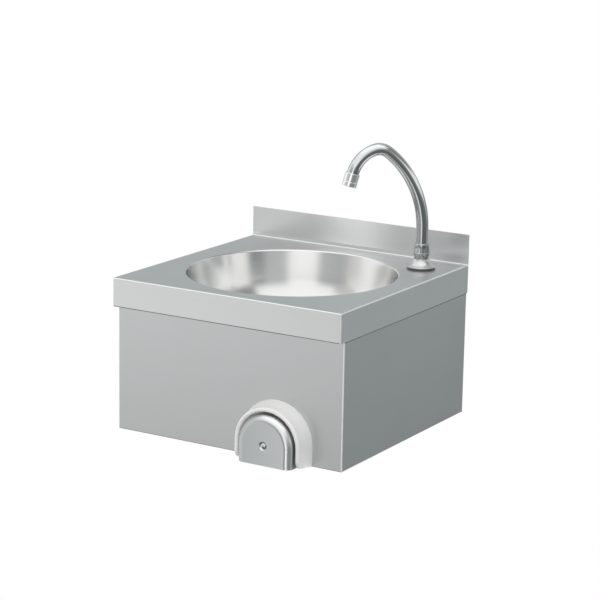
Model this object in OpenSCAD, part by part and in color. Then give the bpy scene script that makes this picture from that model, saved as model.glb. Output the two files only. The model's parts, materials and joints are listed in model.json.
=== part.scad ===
// Compact wall-hung handwash sink worked by a knee pad.
// Frame: +X to the user's right, the wall plane is Y = 0 and the user stands on the -Y side,
// Z = 0 is the bottom edge of the skirt. Origin at the middle of the wall plane, on that edge.

/* [Worktop] */
// Width of the worktop
deck_w = 400; // [390:1:440]
// Depth of the worktop, from the wall plane to the apron's face
deck_d = 397; // [392:1:430]
// Height of the deck above the skirt's bottom edge
deck_h = 240; // [236:1:260]
// Height of the apron
apron_h = 45; // [38:1:60]
// Height of the backsplash above the deck
splash_h = 48; // [30:1:80]
// Thickness of the sheet
sheet_t = 1.2; // [1.0:0.1:1.5]
// Outer radius of the folds
fold_r = 2; // [1.6:0.1:2.5]
// How far the front apron stands in front of the skirt
apron_step = 13.2; // [12:0.1:16]

/* [Bowl] */
// Distance from the wall plane to the bowl's centre
bowl_y = 204; // [200:1:208]
// Radius at which the deck turns into the bowl's lip
bowl_r = 166; // [160:1:166]
// Depth of the bowl below the deck
bowl_depth = 140; // [130:1:140]
// Radius of the lip
lip_r = 3; // [2.5:0.5:4]
// Lean of the bowl's wall from vertical, in degrees
bowl_lean = 12; // [8:1:14]
// Radius between the bowl's wall and its bottom
bowl_corner_r = 120; // [100:1:120]

/* [Skirt] */
// Width of the flange that meets the wall, each side
wall_flange = 30; // [25:1:35]
// Width of the hem along the bottom edge
hem_w = 12; // [8:1:14]

/* [Tap] */
// Sideways place of the tap on the deck
tap_x = 150; // [148:1:152]
// Distance from the wall plane to the tap's axis
tap_y = 64; // [60:1:68]
// Height above the deck at which the straight foot of the spout ends
spout_rise = 63; // [60:1:90]
// Radius of the spout's first, long bend
bend_1_r = 157; // [140:1:170]
// Radius of its second bend
bend_2_r = 135; // [120:1:145]
// Radius of the tight bend over the top
bend_3_r = 23; // [23:1:30]
// Radius of the falling bend
bend_4_r = 53.5; // [48:0.5:60]
// Length of the straight tip, aerator included
tip_len = 21; // [21:0.5:30]
// Compass direction of the spout about the tap's axis, in degrees from +X
spout_dir = 223.3; // [200:0.1:250]

/* [Knee pad] */
// Sideways place of the knee pad
knee_x = 87; // [84:1:90]
// Height of the knee pad's centre
knee_z = 30; // [30:1:32]
// Half width of the pad
pad_r = 46; // [44:1:46]
// Distance of the pad's face from the skirt
pad_out = 38; // [38:1:42]
// Depth of the pad's turned edge
pad_deep = 25; // [22:1:25]
// Inner radius of the guard's mouth
guard_r = 49; // [49:1:52]
// Distance of the guard's mouth from the skirt
guard_out = 29; // [26:1:30]

/* [Hidden] */
$fn = 64;
overlap = 0.01;
running_gap = 0.05; // radial play of a turning or sliding part
half_w = deck_w / 2;
y_front = -deck_d;
y_panel = y_front + apron_step; // front face of the skirt
panel_x = half_w - sheet_t; // side faces of the skirt
z_apron = deck_h - apron_h;
z_bowl = deck_h - bowl_depth;

// Pipe threads and the bores behind them
thread_r = 10.48;
thread_bore_r = 10.53;
bore_r = 6.5;
union_flats = 24;

// Finishes
steel = [0.68, 0.70, 0.70];
bright = [0.86, 0.87, 0.87];
chrome = [0.80, 0.82, 0.82];
brass = [0.76, 0.62, 0.34];
copper = [0.72, 0.45, 0.30];
zinc = [0.62, 0.64, 0.66];
rubber = [0.09, 0.09, 0.10];
black_plastic = [0.12, 0.12, 0.13];
white_plastic = [0.90, 0.90, 0.88];
braid = [0.60, 0.62, 0.63];

// ---------------------------------------------------------------- helpers
// Cutters run a little past the faces they cut.

// Points along an arc, both ends included
function arc(centre, radius, start, end, steps = 6) = [
    for (i = [0:steps])
        let (angle = start + (end - start) * i / steps)
        [centre[0] + radius * cos(angle), centre[1] + radius * sin(angle)]
];

// Profile in X-Z pushed along Y
module along_y(y0, y1) translate([0, y1, 0]) rotate([90, 0, 0]) linear_extrude(y1 - y0) children();
// Profile in Y-Z pushed along X
module along_x(x0, x1) translate([x0, 0, 0]) rotate([90, 0, 90]) linear_extrude(x1 - x0) children();
// Profile in X-Y pushed along Z
module along_z(z0, z1) translate([0, 0, z0]) linear_extrude(z1 - z0) children();
module box(x0, x1, y0, y1, z0, z1) translate([x0, y0, z0]) cube([x1 - x0, y1 - y0, z1 - z0]);

// Round bar or hole between two heights
module rod(radius, low, high) translate([0, 0, low]) cylinder(r = radius, h = high - low);
module ring(outer, inner, low, high) difference() {
    rod(outer, low, high);
    rod(inner, low - 1, high + 1);
}
module hexbar(flats, low, high) translate([0, 0, low])
    cylinder(r = flats / sqrt(3), h = high - low, $fn = 6);
// Hexagon nut with chamfered corners
module hexnut(flats, hole_r, low, high) difference() {
    face_r = flats * 0.545;
    corner_r = flats * 0.6;
    chamfer = flats * 0.04;
    height = high - low;
    intersection() {
        hexbar(flats, low, high);
        translate([0, 0, low]) rotate_extrude() polygon([
            [0, 0], [face_r, 0], [corner_r, chamfer],
            [corner_r, height - chamfer], [face_r, height], [0, height]
        ]);
    }
    rod(hole_r, low - 1, high + 1);
}

// Copies at +x and -x
module both_sides(x) for (side = [-1, 1]) translate([side * x, 0, 0]) children();
// The children and their mirror image in X
module mirrored() for (side = [0, 1]) mirror([side, 0, 0]) children();
// Copies spaced evenly round Z
module around(count, radius, start = 0) for (i = [0:count - 1])
    rotate([0, 0, start + 360 / count * i]) translate([radius, 0, 0]) children();
// Hole along Y through a sheet at the wall
module wall_hole(radius, length = 10) rotate([90, 0, 0])
    cylinder(r = radius, h = length, center = true);

// Solid box rounded along its top, front and vertical front edges
module folded(half_x, y0, y1, z0, z1, radius) intersection() {
    along_y(y0, y1) polygon(concat(
        [[-half_x, z0], [half_x, z0]],
        arc([half_x - radius, z1 - radius], radius, 0, 90),
        arc([-half_x + radius, z1 - radius], radius, 90, 180)));
    along_x(-half_x, half_x) polygon(concat(
        [[y1, z0], [y1, z1]], arc([y0 + radius, z1 - radius], radius, 90, 180), [[y0, z0]]));
    along_z(z0, z1) polygon(concat(
        [[half_x, y1], [-half_x, y1]],
        arc([-half_x + radius, y0 + radius], radius, 180, 270),
        arc([half_x - radius, y0 + radius], radius, 270, 360)));
}

// Frame on the knee axis: local Z = 0 on the skirt's face, +Z towards the user, +Y up
module at_knee() translate([knee_x, y_panel, knee_z]) rotate([90, 0, 0]) children();
// Frame on the tap axis: local Z = 0 on the deck
module at_tap() translate([tap_x, -tap_y, deck_h]) children();
// The same, with local +X along the spout
module at_spout() at_tap() rotate([0, 0, spout_dir]) children();
// Frame on the waste axis: local Z = 0 on the bowl's bottom
module at_waste() translate([0, -bowl_y, z_bowl]) children();

// ---------------------------------------------------------------- sheet metal

deck_low = deck_h - sheet_t;
bowl_hole_r = bowl_r + 2;
tap_hole_r = 11.25;
return_h = 12;
splash_foot_r = 1.5;

module worktop() color(steel) difference() {
    union() {
        difference() {
            folded(half_w, y_front, 0, z_apron, deck_h, fold_r);
            folded(half_w - sheet_t, y_front + sheet_t, 10, z_apron - 10, deck_low,
                fold_r - sheet_t);
        }
        // Backsplash, with a small inside radius at its foot
        along_x(-half_w, half_w) polygon(concat(
            [[-sheet_t - 2, deck_low], [-fold_r, deck_low]],
            arc([-fold_r, deck_low + fold_r], fold_r, 270, 360, 4),
            [[0, deck_h + splash_h], [-sheet_t, deck_h + splash_h]],
            arc([-sheet_t - splash_foot_r, deck_h + splash_foot_r], splash_foot_r, 0, -90, 4)));
        // Return under the front apron, turned up against the skirt
        along_x(-half_w + sheet_t, half_w - sheet_t) polygon([
            [y_front + sheet_t - overlap, z_apron],
            [y_panel, z_apron],
            [y_panel, z_apron + return_h],
            [y_panel - sheet_t, z_apron + return_h],
            [y_panel - sheet_t, z_apron + sheet_t],
            [y_front + sheet_t - overlap, z_apron + sheet_t]
        ]);
    }
    // The rear lower edge is rounded where the deck folds up
    along_x(-half_w - 1, half_w + 1) polygon(concat(
        [[1, deck_low - 1], [1, deck_low + fold_r]],
        arc([-fold_r, deck_low + fold_r], fold_r, 0, -90, 4),
        [[-fold_r, deck_low - 1]]));
    translate([0, -bowl_y, 0]) rod(bowl_hole_r, deck_h - 10, deck_h + 10);
    translate([tap_x, -tap_y, 0]) rod(tap_hole_r, deck_h - 10, deck_h + 10);
}

// Bowl: the wall is a straight line tangent to the lip and to the corner arc,
// and the corner arc runs into a gently sloping bottom
bottom_slope = 4;
seat_r = 36; // recess in the bowl's bottom for the strainer
seat_d = 3.5;
drain_r = 25.2;
wall_top_x = bowl_r - lip_r * cos(bowl_lean);
wall_top_z = deck_h - lip_r + lip_r * sin(bowl_lean);
// Where the wall's line would meet the bottom's line
foot_z = (z_bowl + tan(bottom_slope) * (wall_top_x - seat_r - tan(bowl_lean) * wall_top_z))
    / (1 - tan(bottom_slope) * tan(bowl_lean));
foot_x = wall_top_x - tan(bowl_lean) * (wall_top_z - foot_z);
corner_tangent = bowl_corner_r * tan((90 - bowl_lean - bottom_slope) / 2);
corner_x = foot_x + sin(bowl_lean) * corner_tangent - cos(bowl_lean) * bowl_corner_r;
corner_z = foot_z + cos(bowl_lean) * corner_tangent + sin(bowl_lean) * bowl_corner_r;

// Bowl's section, [radius, height], set outwards from the inside face
function bowl_line(offset_out) = concat(
    [[bowl_hole_r - 0.05, deck_h - offset_out]],
    arc([bowl_r, deck_h - lip_r], lip_r - offset_out, 90, 180 - bowl_lean, 6),
    arc([corner_x, corner_z], bowl_corner_r + offset_out, -bowl_lean, -90 + bottom_slope, 10),
    [[seat_r + offset_out * 0.3, z_bowl - offset_out]]
);
module bowl() color(bright) translate([0, -bowl_y, 0]) rotate_extrude() {
    inside = bowl_line(0);
    outside = bowl_line(sheet_t);
    seat_z = z_bowl - seat_d;
    polygon(concat(
        inside,
        [[seat_r - 0.6, seat_z], [drain_r, seat_z],
            [drain_r, seat_z - sheet_t], [seat_r + 0.4, seat_z - sheet_t]],
        [for (i = [len(outside) - 1:-1:0]) outside[i]]));
}

bracket_pitch = 27; // bracket screws, each side of the knee axis
bracket_hole_r = 2.6;
rivet_x = panel_x - 22.8;
rivet_heights = [8, 20];
rivet_hole_r = 2.02;
module at_rivets() both_sides(rivet_x) for (z = rivet_heights) translate([0, 0, z]) children();

// Section of the skirt in X-Y, open or closed at the given back line
function skirt_outline(side_x, back_y, radius) = concat(
    [[side_x, back_y], [-side_x, back_y]],
    arc([-panel_x + fold_r, y_panel + fold_r], radius, 180, 270),
    arc([panel_x - fold_r, y_panel + fold_r], radius, 270, 360));
module skirt() color(steel) difference() {
    union() {
        difference() {
            along_z(0, deck_h - fold_r - 0.2) polygon(skirt_outline(panel_x, 0, fold_r));
            along_z(-1, deck_h)
                polygon(skirt_outline(panel_x - sheet_t, -sheet_t, fold_r - sheet_t));
            // Open back between the two wall flanges
            box(-panel_x + wall_flange, panel_x - wall_flange, -5, 5, -1, deck_h);
            // The flanges' tops are kept clear of the deck's fold
            box(-half_w, half_w, -3, 5, deck_h - 6, deck_h + 1);
        }
        // Hem along the bottom edge
        difference() {
            box(-panel_x + sheet_t / 2, panel_x - sheet_t / 2, y_panel + sheet_t / 2, -sheet_t,
                0, sheet_t);
            box(-panel_x + hem_w, panel_x - hem_w, y_panel + hem_w, 5, -1, sheet_t + 1);
        }
    }
    // Hole for the valve's threaded bonnet, and the holes of its bracket
    at_knee() rod(12.3, -5, 5);
    both_sides(bracket_pitch) at_knee() rod(bracket_hole_r, -5, 5);
    at_rivets() wall_hole(rivet_hole_r);
}

// Strip across the open back, stepped at each end to lie inside the wall flanges
tie_h = 28;
tie_x = panel_x - wall_flange - 8;
side_hole_x = 120; // holes of the tie and of the wall rail, each side
module rear_tie() color(zinc) difference() {
    union() {
        box(-tie_x, tie_x, -sheet_t, 0, 0, tie_h);
        mirrored() {
            box(tie_x - sheet_t, tie_x, -2 * sheet_t, 0, 0, tie_h);
            box(tie_x - sheet_t, panel_x - hem_w - 1, -2 * sheet_t, -sheet_t, 0, tie_h);
        }
    }
    both_sides(side_hole_x) translate([0, 0, tie_h / 2]) wall_hole(3.5);
    at_rivets() wall_hole(rivet_hole_r);
}

rivet_grip = 2 * sheet_t;
module tie_rivets() color(zinc) at_rivets() rotate([90, 0, 0]) rotate_extrude() polygon([
    [0, 0], [2, 0], [2, rivet_grip], [3.6, rivet_grip],
    [3.4, rivet_grip + 0.7], [2.4, rivet_grip + 1.2], [0, rivet_grip + 1.3]
]);

// Rail screwed to the wall: a plate with a trough whose lip points up
rail_z = deck_h - 33; // floor of the trough
module wall_rail() color(zinc) translate([0, 0, rail_z]) difference() {
    along_x(-150, 150) polygon([
        [0, -42], [0, 12], [-2, 12], [-2, 0], [-6, 0], [-6, 19],
        [-8, 19], [-8, -2], [-2, -2], [-2, -42]
    ]);
    both_sides(side_hole_x) translate([0, 0, -22]) wall_hole(4, 30);
}
// Angle welded under the deck that drops into the rail's trough
module hook_strip() color(steel) along_x(-140, 140) polygon([
    [-3.4, rail_z], [-3.4, deck_low], [-28, deck_low],
    [-28, deck_low - sheet_t], [-4.8, deck_low - sheet_t], [-4.8, rail_z]
]);

// ---------------------------------------------------------------- knee guard and pad
// Sections: x is the distance from the knee axis, y the distance out of the skirt.

// A section carried straight down from the knee axis on both sides
module legs(section) mirrored() rotate([90, 0, 0]) linear_extrude(knee_z) polygon(section);

guard_base = guard_r + 12.5;
bead_r = 3.5;
bead_t = 1.4;
leg_corner_r = 13;
bead_centre = [guard_r + bead_r, guard_out - bead_r];
guard_section = concat(
    [[guard_base, 0], [guard_base - 2, 8], [guard_r + 7.6, 16]],
    arc(bead_centre, bead_r, 0, 180, 10),
    [[guard_r, 14], [guard_r + bead_t, 14]],
    arc(bead_centre, bead_r - bead_t, 180, 0, 10),
    [[guard_r + 6.2, 16], [guard_base - 3.4, 8], [guard_base - 1.5, 0]]);
module knee_guard() color(bright) intersection() {
    y_mouth = y_panel - guard_out;
    at_knee() {
        rotate_extrude(angle = 180) polygon(guard_section);
        legs(guard_section);
    }
    // Lower front corners of the legs are rounded
    along_x(0, half_w) polygon(concat(
        [[y_panel + 1, 0], [y_panel + 1, 200], [y_mouth - 1, 200],
            [y_mouth - 1, leg_corner_r], [y_mouth, leg_corner_r]],
        arc([y_mouth + leg_corner_r, leg_corner_r], leg_corner_r, 180, 270, 6)));
}

pad_edge_r = 11;
pad_t = 1.5;
pad_back = pad_out - pad_t;
dimple_d = 2; // depth of the dimple round the screw
pad_edge_centre = [pad_r - pad_edge_r, pad_out - pad_edge_r];
dimple_face = [[3.1, pad_out - dimple_d], [4.6, pad_out - dimple_d], [6.2, pad_out]];
dimple_back = [[6.9, pad_back], [5.2, pad_back - dimple_d], [3.1, pad_back - dimple_d]];
pad_edge = concat(
    arc(pad_edge_centre, pad_edge_r, 90, 0, 8),
    [[pad_r, pad_out - pad_deep], [pad_r - pad_t, pad_out - pad_deep]],
    arc(pad_edge_centre, pad_edge_r - pad_t, 0, 90, 8));
module knee_pad() color(steel) at_knee() {
    rotate_extrude(angle = 180) polygon(concat(dimple_face, pad_edge, dimple_back));
    // Lower half: the dimple is a full turn, the rest runs straight down
    rotate([0, 0, 180]) rotate_extrude(angle = 180)
        polygon(concat(dimple_face, [[8, pad_out], [8, pad_back]], dimple_back));
    difference() {
        legs(concat([[0, pad_out]], pad_edge, [[0, pad_back]]));
        rod(7.5, pad_out - 10, pad_out + 5);
    }
}
module knee_pad_screw() color(chrome) at_knee() translate([0, 0, pad_out]) rotate_extrude()
    polygon(concat(
        [[0, -14], [2.9, -14], [2.9, -2], [4.2, -2], [4.2, -1]],
        arc([0, -6.2], 6.7, 51, 90, 5)));

plunger_r = 5;
plunger_tail_r = 3;
module plunger_rod() color(bright) at_knee() difference() {
    rotate_extrude() polygon([
        [0, -62], [plunger_tail_r, -62], [plunger_tail_r, -54], [plunger_r, -54],
        [plunger_r, pad_out - 7.5], [7.5, pad_out - 6.5], [7.5, pad_out - 3.5], [0, pad_out - 3.5]
    ]);
    rod(2.95, pad_out - 16, pad_out);
}

// ---------------------------------------------------------------- knee valve, on the knee axis

chamber_r = 12;
valve_seat = -46;
valve_front = -7.4; // front of the body, against the bonnet's collar
valve_back = -95;
cap_front = -84;
outlet_place = -30;
inlet_place = -72;
boss_len = 36;
bracket_back = -3.2;
piston_back = -54;
piston_front = -48.2;
bonnet_thread_r = 13;

// Frames on the valve's bosses, local +Z outwards from the knee axis
module at_outlet() translate([0, 0, outlet_place]) rotate([-90, 0, 0]) children();
module at_inlet() translate([0, 0, inlet_place]) rotate([0, -90, 0]) children();

module valve_body() color(brass) at_knee() difference() {
    union() {
        rod(19, valve_back, valve_front);
        rod(20.5, -22, valve_front);
        rod(20.5, valve_back, cap_front);
        // Outlet boss upwards and inlet boss to the left
        at_outlet() rod(thread_r, 0, boss_len);
        at_inlet() rod(thread_r, 0, boss_len);
    }
    rod(bonnet_thread_r + running_gap, -20, 0);
    rod(chamber_r - 1, -40, -19);
    rod(7.5, -50, -39);
    rod(chamber_r, valve_back - 1, valve_seat);
    rod(14.05, valve_back - 1, cap_front + 1);
    at_outlet() rod(bore_r, 0, boss_len + 4);
    at_inlet() rod(bore_r, 0, boss_len + 4);
}
module valve_bonnet() color(brass) at_knee() difference() {
    union() {
        rod(12, bracket_back - sheet_t, 9);
        rod(17, valve_front, bracket_back);
        rod(bonnet_thread_r, -19.5, valve_front);
    }
    rod(plunger_r + running_gap, -30, 20);
    rod(7, 4, 7.2);
}
module rod_wiper_seal() color(rubber) at_knee() ring(6.95, 5.02, 4.3, 7);
module valve_locknut() color(brass) at_knee() hexnut(30, 12.02, 0.02, 6);
module valve_rear_cap() color(brass) at_knee() difference() {
    union() {
        rod(14, valve_back, cap_front);
        hexbar(32, valve_back - 8, valve_back);
        rod(6.9, cap_front, cap_front + 4);
    }
    rod(3.6, -98, -70);
}
module plunger_piston() color(white_plastic) at_knee() difference() {
    union() {
        rod(11.95, piston_back, -50);
        rod(9.5, -56, piston_front);
    }
    rod(5.02, piston_back, -40);
    rod(3.02, -60, -40);
    around(4, 11.5) rod(2.2, -60, -47);
}
module piston_seal() color(rubber) at_knee() ring(9.5, 5.02, piston_front, valve_seat);

// Compression spring: wire swept along a helix, with a nearly flat turn at each end
wire_sides = 8;
coil_steps = 20;
coil_turns = 8;
coil_r = 9;
wire_r = 0.7;
coil_back = -83;
coil_front = -56.9;
end_turn_rise = 2 * wire_r * 0.98;
// Share of the open height climbed after a number of turns
function coil_lift(turns) = max(0, min(1, (turns - 1) / (coil_turns - 2)));
coil_path = [
    for (i = [0:coil_turns * coil_steps])
        let (turns = i / coil_steps)
        [
            coil_r * cos(360 * turns),
            coil_r * sin(360 * turns),
            coil_back + end_turn_rise * (min(turns, 1) + max(turns - coil_turns + 1, 0))
                + (coil_front - coil_back - 4 * wire_r) * coil_lift(turns)
        ]
];
module return_spring() color(zinc) at_knee() {
    last = len(coil_path) - 1;
    points = [
        for (i = [0:last])
            let (turn = 360 * i / coil_steps)
            for (k = [0:wire_sides - 1])
                let (angle = 360 * k / wire_sides, out = wire_r * cos(angle))
                coil_path[i] + [out * cos(turn), out * sin(turn), wire_r * sin(angle)]
    ];
    faces = concat(
        [[for (k = [0:wire_sides - 1]) k]],
        [for (i = [0:last - 1], k = [0:wire_sides - 1])
            let (here = i * wire_sides, beyond = here + wire_sides, next = (k + 1) % wire_sides)
            [here + k, beyond + k, beyond + next, here + next]],
        [[for (k = [wire_sides - 1:-1:0]) last * wire_sides + k]]);
    polyhedron(points, faces, convexity = 10);
}

// Plate behind the skirt that spreads the valve's load
module valve_bracket() color(zinc) at_knee() difference() {
    union() {
        translate([-34, -26, bracket_back]) cube([68, 52, 2]);
        both_sides(33) translate([-1, -26, -22]) cube([2, 52, 19]);
    }
    rod(12.1, -5, 5);
    both_sides(bracket_pitch) rod(bracket_hole_r, -5, 5);
}
module bracket_screws() color(zinc) at_knee() both_sides(bracket_pitch) rotate_extrude()
    polygon(concat(
        [[0, -12], [2.5, -12], [2.5, 0], [4.6, 0], [4.6, 1.2]],
        arc([0, -2.6], 6, 39, 90, 4)));
module bracket_nuts() color(zinc) at_knee() both_sides(bracket_pitch)
    hexnut(8, 2.52, bracket_back - 4, bracket_back);

// Straight link from the mixer to the valve's inlet, measured from the knee axis.
// Each nut is a collar round the pipe and a threaded part over the boss.
link_r = 6;
link_nut_r = 6.05;
valve_nut_step = 36.2;
mixer_nut_step = 134.8;
module feed_link_pipe() color(copper) at_knee() at_inlet() ring(link_r, 5, 24, 143);
module link_pipe_nuts() color(brass) at_knee() at_inlet() {
    hexnut(union_flats, link_nut_r, valve_nut_step, 44);
    difference() {
        hexbar(union_flats, 25, valve_nut_step);
        rod(thread_bore_r, 20, valve_nut_step + 0.01);
    }
    hexnut(union_flats, link_nut_r, 127, mixer_nut_step);
    difference() {
        hexbar(union_flats, mixer_nut_step, 142);
        rod(thread_bore_r, mixer_nut_step - 0.01, 145);
    }
}

// ---------------------------------------------------------------- mixer
// Level with the knee axis; local +Z points to the user's left.

mixer_x = -62;
mixer_end = 62;
cap_seat = 53;
knob_low = 70;
knob_top = 84;
spindle_r = 4;
module at_mixer() translate([mixer_x, y_panel - inlet_place, knee_z]) rotate([0, -90, 0])
    children();
// The two inlets, local +Z towards the wall
module at_mixer_inlets() for (z = [16, 46]) translate([0, 0, z]) rotate([-90, 0, 0]) children();

module mixer_body() color(brass) at_mixer() difference() {
    union() {
        rod(17, -2, mixer_end);
        rod(thread_r, -13, 0);
        at_mixer_inlets() rod(12.5, 0, 22);
    }
    rod(bore_r, -14, 5);
    rod(13.05, cap_seat - 1, mixer_end + 1);
    rod(12, 4, cap_seat);
    at_mixer_inlets() {
        rod(5, 0, 25);
        rod(9.5, 16, 25);
    }
}
module mixer_cap() color(brass) at_mixer() difference() {
    union() {
        rod(13, cap_seat, mixer_end);
        hexbar(30, mixer_end, mixer_end + 6);
    }
    rod(spindle_r + running_gap, 50, 70);
    rod(6, 52, 56);
}
module mixer_spindle_seal() color(rubber) at_mixer() ring(5.95, 4.02, 53.2, 55.8);
module mixer_spindle() color(bright) at_mixer() difference() {
    union() {
        rod(11.95, 6, 52.5);
        rod(spindle_r, 52, 82);
    }
    rod(8.5, 5, 50);
    // Metering ports, one for each inlet
    at_mixer_inlets() rod(4, 0, 20);
    rod(1.55, 72, 84);
}
module mixer_knob() color(black_plastic) at_mixer() difference() {
    union() {
        rotate_extrude() polygon(concat(
            [[4.02, knob_low], [15, knob_low], [16, knob_low + 1], [16, knob_top - 2]],
            arc([14, knob_top - 2], 2, 0, 90, 4),
            [[4.02, knob_top]]));
        // Raised mark on the end face
        translate([-1.5, 8, knob_top]) cube([3, 7, 1]);
    }
    around(12, 17.4) rod(2.4, knob_low - 2, knob_top + 6);
}
module mixer_knob_screw() color(zinc) at_mixer() rotate_extrude() polygon([
    [0, 74], [1.5, 74], [1.5, 84.02], [5, 84.02], [5, 85], [3.6, 86.2], [0, 86.4]
]);
module check_valves() color(brass) at_mixer() at_mixer_inlets() difference() {
    union() {
        rod(9.4, 16.4, 24);
        hexbar(union_flats, 22, 34);
        rod(12, 34, 46);
        rod(thread_r, 46, 62);
    }
    rod(6, 10, 63);
    // Poppet pocket
    rod(7.5, 30, 44);
}

// ---------------------------------------------------------------- hose from the valve to the tap

hose_r = 6;
hose_bore = 4;
hose_bend_r = 26;
hose_z = 112; // level run
hose_y = y_panel - outlet_place;
hose_gap = 8; // from the end of a male thread to the end of the hose
shank_len = 55; // tap shank below the deck's top
module hose_bend() rotate_extrude(angle = 90) translate([hose_bend_r, 0]) difference() {
    circle(r = hose_r);
    circle(r = hose_bore);
}
module hose_leg(length) ring(hose_r, hose_bore, 0, length);
module spout_hose() color(braid) {
    low_end = knee_z + boss_len + hose_gap;
    top_end = deck_h - shank_len - hose_gap;
    // Up from the valve
    translate([knee_x, hose_y, low_end]) hose_leg(hose_z - hose_bend_r - low_end);
    // Over to the right
    translate([knee_x + hose_bend_r, hose_y, hose_z - hose_bend_r])
        rotate([90, 0, 0]) rotate([0, 0, 90]) hose_bend();
    translate([knee_x + hose_bend_r, hose_y, hose_z])
        rotate([0, 90, 0]) hose_leg(tap_x - knee_x - 2 * hose_bend_r);
    // Back along the side
    translate([tap_x - hose_bend_r, hose_y + hose_bend_r, hose_z])
        rotate([0, 0, -90]) hose_bend();
    translate([tap_x, hose_y + hose_bend_r, hose_z])
        rotate([-90, 0, 0]) hose_leg(-tap_y - hose_y - 2 * hose_bend_r);
    // And up to the tap
    translate([tap_x, -tap_y - hose_bend_r, hose_z + hose_bend_r])
        rotate([90, 0, 90]) rotate([0, 0, -90]) hose_bend();
    translate([tap_x, -tap_y, hose_z + hose_bend_r]) hose_leg(top_end - hose_z - hose_bend_r);
}
// Ferrule and union nut; local Z = 0 at the end of the male thread
module hose_end() {
    difference() {
        union() {
            rod(7.6, -19, -5);
            rod(9.6, -3, 0);
            rod(7, -6, 0);
        }
        rod(hose_r + 0.02, -20, -hose_gap);
        rod(hose_bore, -9, 1);
    }
    difference() {
        hexbar(union_flats, -5, 9);
        rod(7.05, -6, -3);
        rod(thread_bore_r, -3.05, 10);
    }
}
module spout_hose_nuts() color(zinc) {
    translate([tap_x, -tap_y, deck_h - shank_len]) hose_end();
    translate([knee_x, hose_y, knee_z + boss_len]) rotate([180, 0, 0]) hose_end();
}

// ---------------------------------------------------------------- tap, local Z = 0 on the deck

flange_seal_t = 2.5;
washer_low = -sheet_t - 2.5;
shank_shoulder = 15.6;
shank_top = 29;
thrust_top = 29.5;
spigot_r = 7.4;
foot_low = 30.5; // the spout's foot and the wider ring round it
foot_top = 32.5;
foot_r = 10.6;

module tap_shank() color(brass) at_tap() difference() {
    union() {
        rod(thread_r, -shank_len, shank_shoulder);
        rod(11.6, shank_shoulder, 17);
        rod(9.4, 17, shank_top);
    }
    rod(spigot_r + running_gap, 1, 30);
    rod(6, -shank_len - 1, 2);
}
module tap_flange() color(chrome) at_tap() rotate_extrude() polygon(concat(
    [[10.6, 14.4], [10.6, shank_shoulder], [12.0, shank_shoulder], [12.6, 15.0]],
    // Concave bell
    arc([26.8, 18.6], 14.6, 195, 252, 8),
    arc([21.9, 3.7], 1.2, 80, -90, 6),
    [[20.6, flange_seal_t], [20.6, 3.6]],
    arc([26.2, 18.2], 15.6, 248, 196, 8)));
module flange_seal() color(rubber) at_tap() ring(21.6, 11.4, 0, flange_seal_t);
module shank_washer() color(rubber) at_tap() ring(18, 10.6, washer_low, -sheet_t);
module shank_locknut() color(brass) at_tap()
    hexnut(27, thread_bore_r, washer_low - 7, washer_low);

nut_flutes = 12;
module collar_nut() color(chrome) at_tap() difference() {
    rotate_extrude() polygon(concat(
        [[9.45, 17.1], [10.6, 17.1], [11.4, 19.2]],
        arc([11.3, 24.5], 1.6, -30, 45, 4),
        [[11.0, 38.8], [10.4, 40], [9.6, 40], [9.6, 34.6], [10.8, 34.6],
            [10.8, shank_top], [9.45, shank_top]]));
    around(nut_flutes, 14.9, 180 / nut_flutes) rod(2.6, 16, 36);
}
module thrust_washer() color(white_plastic) at_tap() ring(9.3, 7.5, shank_top, thrust_top);
module glide_ring() color(white_plastic) at_tap() ring(10.7, 9.55, foot_top, 34.55);

// Spout: local +X along the spout, Z up from the deck. Four tangent bends between two straights.
// The headings are [sine, cosine] of the lean from vertical, taken from whole-number right
// triangles (3-4-5, 44-117-125 and 7-24-25), so each bend meets the next one exactly.
tube_r = 9.5;
tube_bore = tube_r - 1.5;
headings = [[0, 1], [0.6, 0.8], [0.8, 0.6], [0.936, -0.352], [0.28, -0.96]];
bend_radii = [bend_1_r, bend_2_r, bend_3_r, bend_4_r];
function bend_end(start, radius, from, to) =
    [start[0] + radius * (from[1] - to[1]), start[1] + radius * (to[0] - from[0])];
function bend_start(i) = i == 0
    ? [0, spout_rise]
    : bend_end(bend_start(i - 1), bend_radii[i - 1], headings[i - 1], headings[i]);
// One bend: a ring cut to the wedge between two headings
module bend(i) {
    start = bend_start(i);
    radius = bend_radii[i];
    from = headings[i];
    to = headings[i + 1];
    edge_from = 2 * radius * [-from[1], from[0]];
    edge_to = 2 * radius * [-to[1], to[0]];
    translate([start[0] + radius * from[1], 0, start[1] - radius * from[0]])
        rotate([90, 0, 0]) intersection() {
            rotate_extrude() translate([radius, 0]) difference() {
                circle(r = tube_r);
                circle(r = tube_bore);
            }
            translate([0, 0, -20]) linear_extrude(40)
                polygon([[0, 0], edge_from, edge_from + edge_to, edge_to]);
        }
}
// Frame at the start of the straight tip, local +Z along it
module to_tip() {
    tip = bend_start(4);
    lean = headings[4];
    translate([tip[0], 0, tip[1]]) multmatrix([
        [lean[1], 0, lean[0], 0],
        [0, 1, 0, 0],
        [-lean[0], 0, lean[1], 0],
        [0, 0, 0, 1]
    ]) children();
}
module spout_tube() color(chrome) at_spout() {
    difference() {
        union() {
            rod(tube_r, foot_low, spout_rise);
            rod(foot_r, foot_low, foot_top);
        }
        rod(tube_bore, foot_low - 1, spout_rise + 1);
    }
    for (i = [0:3]) bend(i);
    to_tip() ring(tube_r, tube_bore, 0, tip_len - 8);
}

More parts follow.
